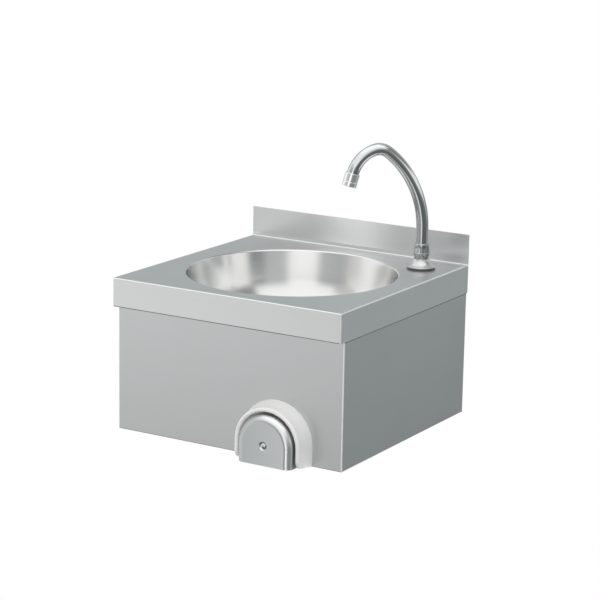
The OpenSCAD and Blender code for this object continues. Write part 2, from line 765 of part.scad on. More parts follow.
o_ring_places = [9, 18];
module spout_spigot() color(brass) at_tap() difference() {
    union() {
        rod(7.95, 30, 46);
        rod(9.4, thrust_top, foot_low);
        rod(spigot_r, 3, 30);
    }
    rod(4.5, 0, 50);
    // O-ring grooves
    for (z = o_ring_places) difference() {
        rod(9, z - 1.3, z + 1.3);
        rod(5.6, z - 2, z + 2);
    }
}
module spigot_o_rings() color(rubber) at_tap() for (z = o_ring_places)
    translate([0, 0, z]) rotate_extrude() translate([6.52, 0]) circle(r = 0.91);

// Aerator: housing screwed on the tube's end, seal, and a honeycomb insert.
// Local Z = 0 at the mouth, +Z out of the spout.
seal_back = -7.9;
seal_front = -6.4;
insert_front = -1.5;
module at_mouth() at_spout() to_tip() translate([0, 0, tip_len]) children();
module aerator_housing() color(chrome) at_mouth() rotate_extrude() polygon([
    [tube_r + 0.02, -21], [10.6, -21], [11.4, -20.2], [11.4, -8.2], [11.1, -7.8], [11.1, -7.4],
    [11.5, -7], [11.5, -0.8], [10.8, 0], [9, 0], [9, insert_front], [10, insert_front],
    [10, seal_back], [tube_r + 0.02, seal_back]
]);
module aerator_seal() color(rubber) at_mouth() ring(9.9, 7.6, seal_back, seal_front);
module aerator_insert() color(white_plastic) at_mouth() difference() {
    union() {
        rod(9.9, seal_front, insert_front);
        rod(8.8, -2, -0.6);
    }
    // Rings of holes: [count, radius]
    for (holes = [[1, 0], [6, 3.2], [12, 6.4]]) around(holes[0], holes[1]) rod(1.1, -10, 1);
}

// ---------------------------------------------------------------- waste, on the waste axis

seat_low = -seat_d - sheet_t; // underside of the bowl's recess
gasket_low = seat_low - 3;
strainer_hole_r = 2.4;
module strainer_gasket() color(rubber) at_waste() ring(34, drain_r, -seat_d, -seat_d + 1);
module waste_strainer() color(bright) at_waste() difference() {
    rotate_extrude() polygon([
        [0, -9.2], [22.5, -9.2], [22.5, -2.5], [34.2, -2.5], [35, -1.9],
        [34.6, -1.3], [22, -1.3], [21.3, -2], [21.3, -8], [0, -8]
    ]);
    rod(3.1, -10, 0);
    around(8, 9.5) rod(strainer_hole_r, -12, -5);
    around(12, 16.5, 15) rod(strainer_hole_r, -12, -5);
}
module strainer_screw() color(bright) at_waste() rotate_extrude() polygon([
    [0, -34], [2.95, -34], [2.95, -8], [5.6, -8], [5.6, -6.9], [4, -5.6], [0, -5.2]
]);
module waste_gasket() color(rubber) at_waste() ring(34, 26, gasket_low, seat_low);
module waste_body() color(white_plastic) at_waste() {
    difference() {
        union() {
            rod(35, gasket_low - 4, gasket_low);
            rotate_extrude() polygon([[0, -48], [26, -48], [28.5, -38], [28.5, -11], [0, -11]]);
            rod(23.9, -72, -47);
        }
        rotate_extrude() polygon([[0, -73], [20, -73], [20, -49], [24.6, -37], [24.6, 0], [0, 0]]);
    }
    // Cross web that takes the screw
    difference() {
        union() {
            rod(6, -34, -18);
            for (angle = [0:60:120]) rotate([0, 0, angle])
                translate([-24.8, -1.4, -30]) cube([49.6, 2.8, 10]);
        }
        rod(3, -40, -10);
    }
}

worktop();
bowl();
skirt();
rear_tie();
tie_rivets();
hook_strip();
wall_rail();
knee_guard();
knee_pad();
knee_pad_screw();
plunger_rod();
plunger_piston();
piston_seal();
return_spring();
valve_body();
valve_bonnet();
rod_wiper_seal();
valve_locknut();
valve_bracket();
bracket_screws();
bracket_nuts();
valve_rear_cap();
feed_link_pipe();
link_pipe_nuts();
mixer_body();
mixer_cap();
mixer_spindle();
mixer_spindle_seal();
mixer_knob();
mixer_knob_screw();
check_valves();
spout_hose();
spout_hose_nuts();
tap_shank();
tap_flange();
flange_seal();
shank_washer();
shank_locknut();
collar_nut();
glide_ring();
thrust_washer();
spout_tube();
spout_spigot();
spigot_o_rings();
aerator_housing();
aerator_insert();
aerator_seal();
waste_strainer();
strainer_screw();
strainer_gasket();
waste_gasket();
waste_body();
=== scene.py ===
"""Compact knee-operated handwash sink: a folded worktop with a pressed bowl, a skirt below it
that carries the knee valve, and a bent tap on the deck.

Pieces are built in millimetres and written in metres, in the frame of the CAD part:
+X to the user's right, the wall plane at Y = 0, the user on the -Y side, Z = 0 at the skirt's
bottom edge. Materials, world, floor and camera work in metres.
"""

import json
import math

import bmesh
import bpy
import numpy as np
from mathutils import Matrix, Vector
from mathutils.geometry import delaunay_2d_cdt


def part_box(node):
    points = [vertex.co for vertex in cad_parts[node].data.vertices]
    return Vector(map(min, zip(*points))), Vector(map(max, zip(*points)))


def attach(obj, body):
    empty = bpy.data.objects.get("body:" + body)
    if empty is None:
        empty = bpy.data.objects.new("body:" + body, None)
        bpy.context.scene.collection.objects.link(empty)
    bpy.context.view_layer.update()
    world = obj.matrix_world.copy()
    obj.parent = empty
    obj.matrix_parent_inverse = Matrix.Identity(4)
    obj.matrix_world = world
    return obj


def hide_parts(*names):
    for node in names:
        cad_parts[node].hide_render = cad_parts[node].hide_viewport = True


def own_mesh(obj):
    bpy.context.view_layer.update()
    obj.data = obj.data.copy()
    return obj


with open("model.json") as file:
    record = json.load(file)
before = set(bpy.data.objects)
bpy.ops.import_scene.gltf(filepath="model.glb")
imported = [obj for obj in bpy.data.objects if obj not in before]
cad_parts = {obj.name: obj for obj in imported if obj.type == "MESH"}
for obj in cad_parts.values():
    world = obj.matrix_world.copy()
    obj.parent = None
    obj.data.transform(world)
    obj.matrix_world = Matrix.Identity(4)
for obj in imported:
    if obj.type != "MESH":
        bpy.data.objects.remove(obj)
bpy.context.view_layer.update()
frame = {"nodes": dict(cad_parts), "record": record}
MM = 0.001

# Driving dimensions, mm --------------------------------------------------------------------------


def box_mm(node):
    low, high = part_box(node)
    return np.array(low) / MM, np.array(high) / MM


worktop_low, worktop_high = box_mm("worktop")
skirt_low, skirt_high = box_mm("skirt")
bowl_low, bowl_high = box_mm("bowl")
flange_low, flange_high = box_mm("tap_flange")
pad_low, pad_high = box_mm("knee_pad")
guard_low, guard_high = box_mm("knee_guard")

SHEET = 1.2  # sheet thickness
FOLD_R = 2.0  # outer radius of a fold
HALF_WIDTH = (worktop_high[0] - worktop_low[0]) / 2
FRONT_Y = worktop_low[1]
APRON_Z = worktop_low[2]  # lower edge of the aprons
TOP_Z = worktop_high[2]  # top of the backsplash
DECK_Z = bowl_high[2]
PANEL_X = skirt_high[0]
PANEL_Y = skirt_low[1]  # face of the skirt's front panel
SKIRT_TOP = skirt_high[2]
BOWL_Y = (bowl_low[1] + bowl_high[1]) / 2
BOWL_R = (bowl_high[0] - bowl_low[0]) / 2  # outer edge of the bowl's flange
SEAT_DEPTH = 3.5  # waste seat below the bowl's floor
TAP = np.array([(flange_low[0] + flange_high[0]) / 2, (flange_low[1] + flange_high[1]) / 2, DECK_Z])
KNEE = np.array([(pad_low[0] + pad_high[0]) / 2, PANEL_Y, 30.0])
PAD_OUT = PANEL_Y - pad_low[1]  # how far the pad stands out of the panel
PAD_DEPTH = pad_high[1] - pad_low[1]
PAD_R = (pad_high[0] - pad_low[0]) / 2
GUARD_R = (guard_high[0] - guard_low[0]) / 2
GUARD_OUT = PANEL_Y - guard_low[1]
BRAID_CARRIERS = 12  # strands of the hose's braid in each direction
BRAID_PITCH = 18.0

# Local frames. At the knee, local Z points at the user and local Y points up.
AT_KNEE = Matrix.Translation(KNEE) @ Matrix.Rotation(math.radians(90), 4, "X")
AT_TAP = Matrix.Translation(TAP)
AT_SPOUT = AT_TAP @ Matrix.Rotation(math.radians(223.3), 4, "Z")  # local X is the spout's reach
AT_WASTE = Matrix.Translation((0, BOWL_Y, bowl_low[2] + SEAT_DEPTH + SHEET))

# Mesh helpers ------------------------------------------------------------------------------------


def cos_deg(angle):
    return math.cos(math.radians(angle))


def sin_deg(angle):
    return math.sin(math.radians(angle))


def arc(cx, cy, radius, start, end, steps):
    angles = [start + (end - start) * i / steps for i in range(steps + 1)]
    return [(cx + radius * cos_deg(a), cy + radius * sin_deg(a)) for a in angles]


def circle(cx, cy, radius, count):
    angles = [2 * math.pi * i / count for i in range(count)]
    return [(cx + radius * math.cos(a), cy + radius * math.sin(a)) for a in angles]


def rectangle(xs, ys):
    """Outline with a point at every x along both ends and at every y along both sides."""
    outline = [(x, ys[0]) for x in xs] + [(xs[-1], y) for y in ys[1:]]
    return outline + [(x, ys[-1]) for x in xs[-2::-1]] + [(xs[0], y) for y in ys[-2:0:-1]]


def subdivide(profile, step):
    """Adds points so that no segment rises by two steps or more."""
    dense = []
    for (r0, z0), (r1, z1) in zip(profile, profile[1:]):
        count = max(1, int(abs(z1 - z0) / step))
        dense += [(r0 + (r1 - r0) * i / count, z0 + (z1 - z0) * i / count) for i in range(count)]
    return dense + [profile[-1]]


def smoothstep(x):
    x = np.clip(x, 0, 1)
    return x * x * (3 - 2 * x)


def inside(point, polygon):
    hit = False
    for (x0, y0), (x1, y1) in zip(polygon, polygon[1:] + polygon[:1]):
        if (y0 > point[1]) != (y1 > point[1]):
            if point[0] < (x1 - x0) * (point[1] - y0) / (y1 - y0) + x0:
                hit = not hit
    return hit


class Net:
    """Vertices and faces collected in millimetres."""

    def __init__(self):
        self.verts, self.faces = [], []

    def add(self, verts, faces):
        base = len(self.verts)
        self.verts.extend([tuple(map(float, p)) for p in verts])
        self.faces.extend([tuple(base + i for i in face) for face in faces])

    def grid(self, rows, closed=False):
        """Quads between neighbouring points; closed joins the end of each row to its start."""
        size = len(rows[0])
        faces = []
        for i in range(len(rows) - 1):
            here, above = i * size, (i + 1) * size
            for j in range(size if closed else size - 1):
                k = (j + 1) % size
                faces.append((here + j, above + j, above + k, here + k))
        self.add([p for row in rows for p in row], faces)

    def sheet(self, outline, holes, place):
        """Flat cell with holes; place turns a 2D point into a 3D one."""
        points, edges = [], []
        for loop in [outline] + holes:
            base = len(points)
            points.extend([Vector(p) for p in loop])
            edges.extend([(base + i, base + (i + 1) % len(loop)) for i in range(len(loop))])
        coords, _, faces, *_ = delaunay_2d_cdt(points, edges, [], 1, 1e-6)
        keep = []
        for face in faces:
            centre = tuple(sum(coords[i][axis] for i in face) / len(face) for axis in (0, 1))
            if inside(centre, outline) and not any(inside(centre, hole) for hole in holes):
                keep.append(tuple(face))
        self.add([place(p[0], p[1]) for p in coords], keep)


def lathe(profile, segments=128, radial=None):
    """Shape turned about local Z from (r, z) points.
    radial(turn, r, z) may change the radius; turn runs from 0 to 1 around."""
    rows = []
    for r, z in profile:
        row = []
        for j in range(segments):
            angle = 2 * math.pi * j / segments
            radius = radial(j / segments, r, z) if radial else r
            row.append((radius * math.cos(angle), radius * math.sin(angle), z))
        rows.append(row)
    net = Net()
    net.grid(rows, closed=True)
    return net


def smooth_mesh(mesh, sharp):
    mesh.polygons.foreach_set("use_smooth", [True] * len(mesh.polygons))
    mesh.set_sharp_from_angle(angle=math.radians(sharp))


def weight_normals(ob):
    modifier = ob.modifiers.new("normals", "WEIGHTED_NORMAL")
    modifier.keep_sharp = True
    modifier.weight = 80


def thicken(ob, thickness):
    """Gives an open skin its wall, inwards, and applies it."""
    modifier = ob.modifiers.new("wall", "SOLIDIFY")
    modifier.thickness = thickness * MM
    modifier.offset = -1
    modifier.use_even_offset = True
    evaluated = ob.evaluated_get(bpy.context.evaluated_depsgraph_get())
    mesh = bpy.data.meshes.new_from_object(evaluated)
    ob.modifiers.clear()
    skin = ob.data
    ob.data = mesh
    bpy.data.meshes.remove(skin)


def face_away(bm, point):
    """Turns the skin so that it faces away from a point, in mm."""
    point = Vector(point) * MM
    bm.normal_update()
    flux = sum(f.normal.dot(f.calc_center_median() - point) * f.calc_area() for f in bm.faces)
    if flux < 0:
        bmesh.ops.reverse_faces(bm, faces=bm.faces)


def make(name, net, matrix=None, thick=0.0, sharp=35, out_from=None, weighted=True):
    """Object from a net; sharp is the edge angle in degrees above which shading breaks."""
    verts = np.array(net.verts, float)
    if matrix is not None:
        turn = np.array(matrix, float)
        verts = verts @ turn[:3, :3].T + turn[:3, 3]
    mesh = bpy.data.meshes.new(name)
    mesh.from_pydata((verts * MM).tolist(), [], net.faces)
    bm = bmesh.new()
    bm.from_mesh(mesh)
    bmesh.ops.remove_doubles(bm, verts=bm.verts, dist=2e-4 * MM)
    bmesh.ops.dissolve_degenerate(bm, edges=bm.edges, dist=1e-8)
    loose = [v for v in bm.verts if not v.link_faces]
    bmesh.ops.delete(bm, geom=loose, context="VERTS")
    bmesh.ops.recalc_face_normals(bm, faces=bm.faces)
    if out_from is not None:
        face_away(bm, out_from)
    bm.to_mesh(mesh)
    bm.free()
    ob = bpy.data.objects.new(name, mesh)
    bpy.context.scene.collection.objects.link(ob)
    if thick:
        thicken(ob, thick)
    smooth_mesh(ob.data, sharp)
    if weighted:
        weight_normals(ob)
    return ob


# Shader notation ---------------------------------------------------------------------------------


class Signal:
    """Output of a shader node; arithmetic on it adds math nodes."""

    def __init__(self, shader, socket):
        self.shader, self.socket = shader, socket

    def __add__(self, other):
        return self.shader.math("ADD", self, other)

    def __radd__(self, other):
        return self.shader.math("ADD", other, self)

    def __sub__(self, other):
        return self.shader.math("SUBTRACT", self, other)

    def __rsub__(self, other):
        return self.shader.math("SUBTRACT", other, self)

    def __mul__(self, other):
        return self.shader.math("MULTIPLY", self, other)

    def __abs__(self):
        return self.shader.math("ABSOLUTE", self)

    def above(self, limit):
        return self.shader.math("GREATER_THAN", self, limit)


class Shader:
    """Short notation for the nodes of a material or world."""

    def __init__(self, tree):
        self.tree = tree
        tree.nodes.clear()

    def feed(self, socket, value):
        if value is None:
            return
        if isinstance(value, Signal):
            self.tree.links.new(value.socket, socket)
            return
        if socket.type == "RGBA":
            if not hasattr(value, "__len__"):
                value = (value, value, value)
            if len(value) == 3:
                value = (*value, 1)
        socket.default_value = value

    def node(self, kind, *inputs, out=0, props=None, **named):
        """Adds a node; inputs go in by place or by name, with _ for a space."""
        node = self.tree.nodes.new(kind)
        for key, value in (props or {}).items():
            setattr(node, key, value)
        for i, value in enumerate(inputs):
            self.feed(node.inputs[i], value)
        for key, value in named.items():
            self.feed(node.inputs[key.replace("_", " ")], value)
        return Signal(self, node.outputs[out])

    def output(self, kind, signal):
        self.feed(self.tree.nodes.new(kind).inputs[0], signal)

    def principled(self, **inputs):
        surface = self.node("ShaderNodeBsdfPrincipled", **inputs)
        self.output("ShaderNodeOutputMaterial", surface)

    def math(self, operation, *inputs):
        return self.node("ShaderNodeMath", *inputs, props={"operation": operation})

    def vector(self, operation, *inputs, out="Vector", **named):
        props = {"operation": operation}
        return self.node("ShaderNodeVectorMath", *inputs, out=out, props=props, **named)

    def tint(self, color, tone):
        return self.vector("SCALE", color, Scale=tone)

    def split(self, vector):
        node = self.tree.nodes.new("ShaderNodeSeparateXYZ")
        self.feed(node.inputs[0], vector)
        return [Signal(self, socket) for socket in node.outputs]

    def position(self):
        return self.node("ShaderNodeTexCoord", out="Object")

    def normal(self):
        return self.node("ShaderNodeNewGeometry", out="Normal")

    def noise(self, vector, scale, detail, roughness):
        return self.node(
            "ShaderNodeTexNoise", Vector=vector, Scale=scale, Detail=detail, Roughness=roughness
        )

    def variation(self, vector, scale, detail, roughness):
        """Noise that swings about zero."""
        return self.noise(vector, scale, detail, roughness) - 0.5

    def remap(self, value, from_min, from_max, to_min, to_max, kind="LINEAR"):
        props = {"interpolation_type": kind}
        return self.node(
            "ShaderNodeMapRange", value, from_min, from_max, to_min, to_max, props=props
        )

    def ease(self, value, from_min, from_max, to_min, to_max):
        return self.remap(value, from_min, from_max, to_min, to_max, "SMOOTHSTEP")

    def mix(self, factor, a, b, kind="RGBA"):
        """Mix of two colours, or of two vectors."""
        slot_a, slot_b, out = {"RGBA": (6, 7, 2), "VECTOR": (4, 5, 1)}[kind]
        node = self.tree.nodes.new("ShaderNodeMix")
        node.data_type = kind
        for slot, value in ((0, factor), (slot_a, a), (slot_b, b)):
            self.feed(node.inputs[slot], value)
        return Signal(self, node.outputs[out])

    def bump(self, height, strength, distance, normal=None):
        return self.node(
            "ShaderNodeBump", Strength=strength, Distance=distance, Height=height, Normal=normal
        )

    def edge(self, radius):
        """1 along sharp edges, 0 on open faces."""
        rounded = self.node("ShaderNodeBevel", props={"samples": 4}, Radius=radius)
        agreement = self.vector("DOT_PRODUCT", rounded, self.normal(), out="Value")
        return self.remap(agreement, 0.995, 0.85, 0.0, 1.0)


# Material kinds ----------------------------------------------------------------------------------

MATS = {}
# white of the painted highlights on the folds and the upstand, and of their glow
HIGHLIGHT_WHITE = (0.97, 0.975, 0.97)
# grain directions, tipped a little off their axis
GRAIN_AXES = {"x": (1, 0.012, 0.017), "y": (0.012, 1, 0.017), "z": (0.012, 0.017, 1)}


def new_material(name):
    mat = bpy.data.materials.new(name)
    mat.use_nodes = True
    MATS[name] = mat
    return Shader(mat.node_tree)


def grain_tangent(shader, sideways, side_grain):
    """Tangent that follows the grain within the surface."""
    axis = shader.mix(sideways, GRAIN_AXES["x"], GRAIN_AXES[side_grain], "VECTOR")
    props = {"vector_type": "VECTOR", "convert_from": "OBJECT", "convert_to": "WORLD"}
    axis = shader.node("ShaderNodeVectorTransform", axis, props=props)
    normal = shader.normal()
    across = shader.vector("CROSS_PRODUCT", normal, axis)
    return shader.vector("CROSS_PRODUCT", across, normal)


def upstand_painted_light(shader, color, place, face_y, patch):
    """Paints a highlight, with light of its own, on the middle of the upstand and paints shade on
    its left side.
    Returns the colour and the painted highlight's own light."""
    centre, reach = patch["centre"], patch["reach"]
    stand = face_y.above(0.9) * place[2].above(patch["above"])
    distance = abs(place[0] - centre)
    middle = shader.ease(distance, 0.0, reach, 1.0, 0.0) * stand
    left = shader.ease(place[0], centre - 1.3 * reach, centre - 0.4 * reach, 1.0, 0.0) * stand
    # painted highlight in the middle of the upstand, painted shade on its left
    color = shader.mix(middle * patch["brighten"], color, HIGHLIGHT_WHITE)
    color = shader.mix(left * patch["darken"], color, (0.3, 0.31, 0.31))
    return color, middle * patch["glow"]


def folded_inputs(shader, position, color, fold_highlight, soft=0.65, glow=0.0, facing_x=None,
                  wall=0.0, patch=None, apron_shadow=None):
    """Principled inputs of a sheet with a painted highlight on its upper and upright folds and
    painted shade on its lower ones.

    fold_highlight: strength of the painted highlight on the folds; soft: how far they lose their
    metallic mirror;
    glow: painted light of the folds' own, in place of lamps that they would mirror;
    facing_x: range of the normal's x over which the painted fold highlight comes in;
    wall: painted shade on faces that look away from Y; patch: painted highlight and shade on the
    upstand, see upstand_painted_light;
    seam: painted shadow under the apron's edge: side faces above its height, in metres, fall to its
    tone."""
    place = shader.split(position)
    face = shader.split(shader.normal())
    size_x, size_y, size_z = (abs(part) for part in face)
    largest = shader.math("MAXIMUM", shader.math("MAXIMUM", size_x, size_y), size_z)
    bend = shader.ease(largest, 0.995, 0.93, 0.0, 1.0)
    upper = shader.ease(face[2], -0.3, -0.1, 0.0, 1.0)
    outward = (face[0] * place[0]).above(-0.02)
    lit = bend * upper * fold_highlight * outward
    # the painted highlight is weaker on the inside fold at the wall
    lit = lit * shader.ease(place[1], -0.03, -0.012, 1.0, 0.5)
    if facing_x:
        lit = lit * shader.ease(face[0], *facing_x, 0.0, 1.0)
    # painted shade on the lower folds, where they face down
    lower_fold_shade = bend * (1.0 - upper) * 0.55
    color = shader.mix(lit, color, HIGHLIGHT_WHITE)
    color = shader.mix(lower_fold_shade, color, (0.08, 0.085, 0.085))
    # painted shade on the faces that look away from Y, such as the pad's side wall
    if wall:
        color = shader.mix(shader.ease(size_y, 0.45, 0.1, 0.0, wall), color, (0.03, 0.033, 0.033))
    # painted light: the highlighted folds glow with light of their own
    shine = lit * glow if glow else None
    if patch:
        color, extra = upstand_painted_light(shader, color, place, size_y, patch)
        shine = shine + extra
    # painted shadow: side faces just under the apron's lower edge fall dark
    if apron_shadow:
        start, end = apron_shadow["height"] - 0.0022, apron_shadow["height"] - 0.0014
        shaded = shader.ease(place[2], start, end, 0.0, 1.0) * size_x.above(0.75)
        color = shader.mix(shaded * (1 - apron_shadow["tone"]), color, (0.02, 0.02, 0.02))
    inputs = {"Base_Color": color, "Metallic": 1.0 - lit * soft}
    if shine is not None:
        inputs.update(Emission_Color=HIGHLIGHT_WHITE, Emission_Strength=shine)
    return inputs


def brushed_metal(name, color, rough, *, streak, bump, cloud, side_grain=None, wave=0.0,
                  aniso=0.0, edge=0.0, fade=None, folds=None):
    """Sheet with grain along X.

    streak, cloud: tone variation along the grain and in soft patches; bump, wave: relief of
    the grain and of the sheet; side_grain: the grain's axis on faces that look sideways;
    edge: polishing of sharp edges; fade: painted shading, a tone ramp (axis, start, end, start tone,
    end tone), in metres;
    folds: arguments of folded_inputs."""
    shader = new_material(name)
    position = shader.position()
    sideways = None
    if side_grain:
        facing = shader.node("ShaderNodeTexCoord", out="Normal")
        sideways = abs(shader.split(facing)[0]).above(0.75)

    def grain(along, across, detail, roughness):
        def stretched(grain_axis):
            scale = tuple(along if axis == grain_axis else across for axis in "xyz")
            return shader.vector("MULTIPLY", position, scale)

        vector = stretched("x")
        if side_grain:
            vector = shader.mix(sideways, vector, stretched(side_grain), "VECTOR")
        return shader.noise(vector, 1, detail, roughness)

    fine = grain(along=26, across=2600, detail=3, roughness=0.6)
    medium = grain(along=5, across=330, detail=3, roughness=0.6)
    broad = grain(along=2.2, across=42, detail=2, roughness=0.5)
    streaks = fine * 0.35 + (medium * 0.4 + broad * 0.25) - 0.5
    clouds = shader.variation(position, scale=9, detail=3, roughness=0.5)
    tone = 1.0 + streaks * (streak * 2) + clouds * (cloud * 2)
    # painted shading: the tone ramps along one axis
    if fade:
        axis, *span = fade
        tone = tone * shader.remap(shader.split(position)[axis], *span)
    color = shader.tint(color, tone)
    roughness = rough + streaks * (0.28 * rough + 0.04) + clouds * (0.12 * rough)
    if edge:
        roughness = roughness - shader.edge(0.0009) * (edge * rough)
    normal = shader.bump(fine * 0.6 + medium * 0.4, bump, 0.00006)
    if wave:
        waves = shader.noise(position, scale=7, detail=1, roughness=0.4)
        normal = shader.bump(waves, wave, 0.004, normal)
    if folds:
        inputs = folded_inputs(shader, position, color, **folds)
    else:
        inputs = {"Base_Color": color, "Metallic": 1.0}
    if aniso:
        tangent = grain_tangent(shader, sideways, side_grain)
        inputs.update(Anisotropic=aniso, Tangent=tangent)
    shader.principled(Roughness=roughness, Normal=normal, **inputs)


def spun_metal(name, color, rough, centre, rings=900, metallic=1.0, glow=0.0, graze=0.0):
    """Pressed and polished shape: faint rings about a vertical axis through centre, in mm.

    rings: ring density; glow: painted light of its own, stronger on faces that look to the right;
    graze: painted shade on walls seen edge-on."""
    shader = new_material(name)
    centre = tuple(c * MM for c in centre)
    position = shader.vector("SUBTRACT", shader.position(), centre)
    height = shader.split(position)[2]
    level = shader.vector("MULTIPLY", position, (1, 1, 0))
    radius = shader.vector("LENGTH", level, out="Value")
    across = shader.node("ShaderNodeCombineXYZ", radius * rings, height * rings, 0.0)
    ringing = shader.variation(across, scale=1, detail=2, roughness=0.6)
    stretched = shader.vector("MULTIPLY", position, (1400, 260, 500))
    scratches = shader.variation(stretched, scale=1, detail=3, roughness=0.65)
    clouds = shader.variation(position, scale=14, detail=3, roughness=0.55)
    color = shader.tint(color, 1.0 + ringing * 0.06 + clouds * 0.06)
    # painted shade: walls seen edge-on are darkened
    if graze:
        facing = shader.node("ShaderNodeLayerWeight", out="Facing", Blend=0.5)
        upright = abs(shader.split(shader.normal())[2])
        wall = shader.ease(upright, 0.6, 0.35, 0.0, 1.0)
        amount = shader.ease(facing, 0.54, 0.74, 0.0, graze) * wall
        color = shader.mix(amount, color, (0.22, 0.24, 0.24))
    inputs = {}
    # painted light: the shape glows, more where its faces look to the right
    if glow:
        face_x = shader.split(shader.normal())[0]
        strength = shader.ease(face_x, -0.6, 1.0, 0.4 * glow, 1.35 * glow)
        inputs = {"Emission_Color": color, "Emission_Strength": strength}
    shader.principled(
        Base_Color=color,
        Metallic=metallic,
        Roughness=rough + (ringing * 0.1 + (clouds * 0.08 + scratches * 0.04)),
        Normal=shader.bump(ringing + scratches, 0.05, 0.00004),
        **inputs,
    )


def plain_metal(name, color, rough, *, speck, scale, bump, spot=(0.9, 0.9, 0.9), edge=0.25,
                below_horizon_shade=1.0, glow=0.0):
    """Cast, plated or machined metal: mottled tone, fine tool marks, brighter worn edges.

    speck, scale: strength and density of the mottling; bump: relief of the tool marks;
    spot, edge: colour and strength of the worn edges; glow: painted light of its own;
    ground: painted shade: the share of the colour kept where the reflection points below the
    horizon."""
    shader = new_material(name)
    position = shader.position()
    mottle = shader.variation(position, scale, detail=4, roughness=0.6)
    marks = shader.variation(position, scale=900, detail=3, roughness=0.6)
    worn = shader.edge(0.0006)
    color = shader.tint(color, 1.0 + mottle * (speck * 2))
    color = shader.mix(worn * edge, color, spot)
    # painted shade where the reflection points below the horizon
    if below_horizon_shade < 1:
        incoming = shader.node("ShaderNodeNewGeometry", out="Incoming")
        view = shader.vector("MULTIPLY", incoming, (-1, -1, -1))
        seen = shader.vector("REFLECT", view, shader.normal())
        color = shader.tint(color, shader.ease(shader.split(seen)[2], -0.2, 0.08, below_horizon_shade, 1.0))
    uneven = min(1.0, rough / 0.3) ** 1.5  # mirror finishes vary less
    roughness = rough + (mottle * (0.16 * uneven) + marks * (0.1 * uneven))
    # painted light: the metal glows with light of its own
    inputs = {"Emission_Color": spot, "Emission_Strength": glow} if glow else {}
    shader.principled(
        Base_Color=color,
        Metallic=1.0,
        Roughness=roughness - worn * (0.3 * rough),
        Normal=shader.bump(marks + mottle * 0.4, bump, 0.00008),
        **inputs,
    )


def moulded(name, color, rough, *, bump, scale):
    """Rubber or plastic with a fine moulded texture: bump is its relief, scale its density."""
    shader = new_material(name)
    position = shader.position()
    texture = shader.variation(position, scale, detail=3, roughness=0.6)
    clouds = shader.variation(position, scale=45, detail=3, roughness=0.6)
    shader.principled(
        Base_Color=shader.tint(color, 1.0 + clouds * 0.1),
        Metallic=0.0,
        Roughness=rough + (texture * 0.15 + clouds * 0.12),
        Normal=shader.bump(texture, bump, 0.0001),
    )


def braided(name):
    """Stainless braid: two crossing sets of strands on the hose's UVs (u in mm along, v around)."""
    shader = new_material(name)
    along, around, _ = shader.split(shader.node("ShaderNodeTexCoord", out="UV"))
    strand_rate = 2 / BRAID_PITCH
    wires_per_strand = 5.0

    def strands(sign):
        phase = along * strand_rate + around * (sign * BRAID_CARRIERS)
        return shader.math("PINGPONG", phase, 0.5)

    def wires(phase):
        return shader.math("PINGPONG", phase * wires_per_strand, 0.5)

    first, second = strands(1.0), strands(-1.0)
    first_wires = wires(along * strand_rate + around * BRAID_CARRIERS)
    second_wires = wires(along * strand_rate - around * BRAID_CARRIERS)
    over = first.above(second)
    wire_height = over * first_wires + (1.0 - over) * second_wires
    height = shader.math("MAXIMUM", first, second) + wire_height * 0.35
    bright = shader.remap(height, 0.22, 0.55, 0.0, 1.0)
    shader.principled(
        Base_Color=shader.mix(bright, (0.05, 0.05, 0.055), (0.62, 0.63, 0.63)),
        Metallic=shader.remap(height, 0.2, 0.3, 0.2, 1.0),
        Roughness=shader.remap(height, 0.2, 0.6, 0.55, 0.28),
        Normal=shader.bump(height, 0.9, 0.0008),
    )


# Materials ---------------------------------------------------------------------------------------

brushed_metal(
    "brushed_sheet", color=(0.80, 0.812, 0.81), rough=0.34, side_grain="z",
    streak=0.05, bump=0.18, cloud=0.03, wave=0.06, aniso=0.35, edge=0.25,
    # painted highlight and glow on the folds; painted highlight with glow on the upstand's middle,
    # painted shade on its left
    folds=dict(
        fold_highlight=0.74, glow=0.15,
        patch=dict(
            above=(DECK_Z + 6) * MM, centre=-0.003, reach=0.09,
            brighten=0.9, darken=0.15, glow=0.14,
        ),
    ),
)
brushed_metal(
    "lip_sheet", color=(0.78, 0.80, 0.80), rough=0.36, side_grain="z",
    streak=0.05, bump=0.18, cloud=0.025,
)
brushed_metal(
    "skirt_sheet", color=(0.655, 0.668, 0.668), rough=0.36, side_grain="y",
    streak=0.05, bump=0.18, cloud=0.03, wave=0.05, aniso=0.35, edge=0.25,
    # painted shading darker towards the bottom, a painted highlight and glow on the folds, a painted
    # shadow under the apron
    fade=(2, 0.0, 0.195, 0.9, 1.05),
    folds=dict(fold_highlight=0.75, glow=0.32, apron_shadow=dict(height=APRON_Z * MM, tone=0.35)),
)
# graze paints shade on the bowl's walls seen edge-on
spun_metal(
    "satin_bowl", color=(0.95, 0.948, 0.938), rough=0.2,
    centre=(0, BOWL_Y, 0), rings=700, graze=0.25,
)
spun_metal("satin_pressing", color=(0.88, 0.88, 0.87), rough=0.3, centre=KNEE)
# the guard glows a little: painted light, stronger on faces that look to the right
spun_metal(
    "guard_satin", color=(0.98, 0.978, 0.965), rough=0.46,
    centre=KNEE, metallic=0.22, glow=0.1,
)
brushed_metal(
    "pad_sheet", color=(0.60, 0.625, 0.625), rough=0.32,
    streak=0.04, bump=0.12, cloud=0.03, edge=0.25,
    # painted shading darker to the left, a painted highlight on the right-facing rounded edge,
    # painted shade on the side wall
    fade=(0, (KNEE[0] - 46) * MM, (KNEE[0] + 46) * MM, 0.86, 1.1),
    folds=dict(fold_highlight=0.85, soft=0.0, facing_x=(-0.3, 0.12), wall=0.45),
)
plain_metal(
    "zinc_plate", color=(0.60, 0.62, 0.63), rough=0.42, spot=(0.8, 0.81, 0.82),
    speck=0.14, scale=55, bump=0.1,
)
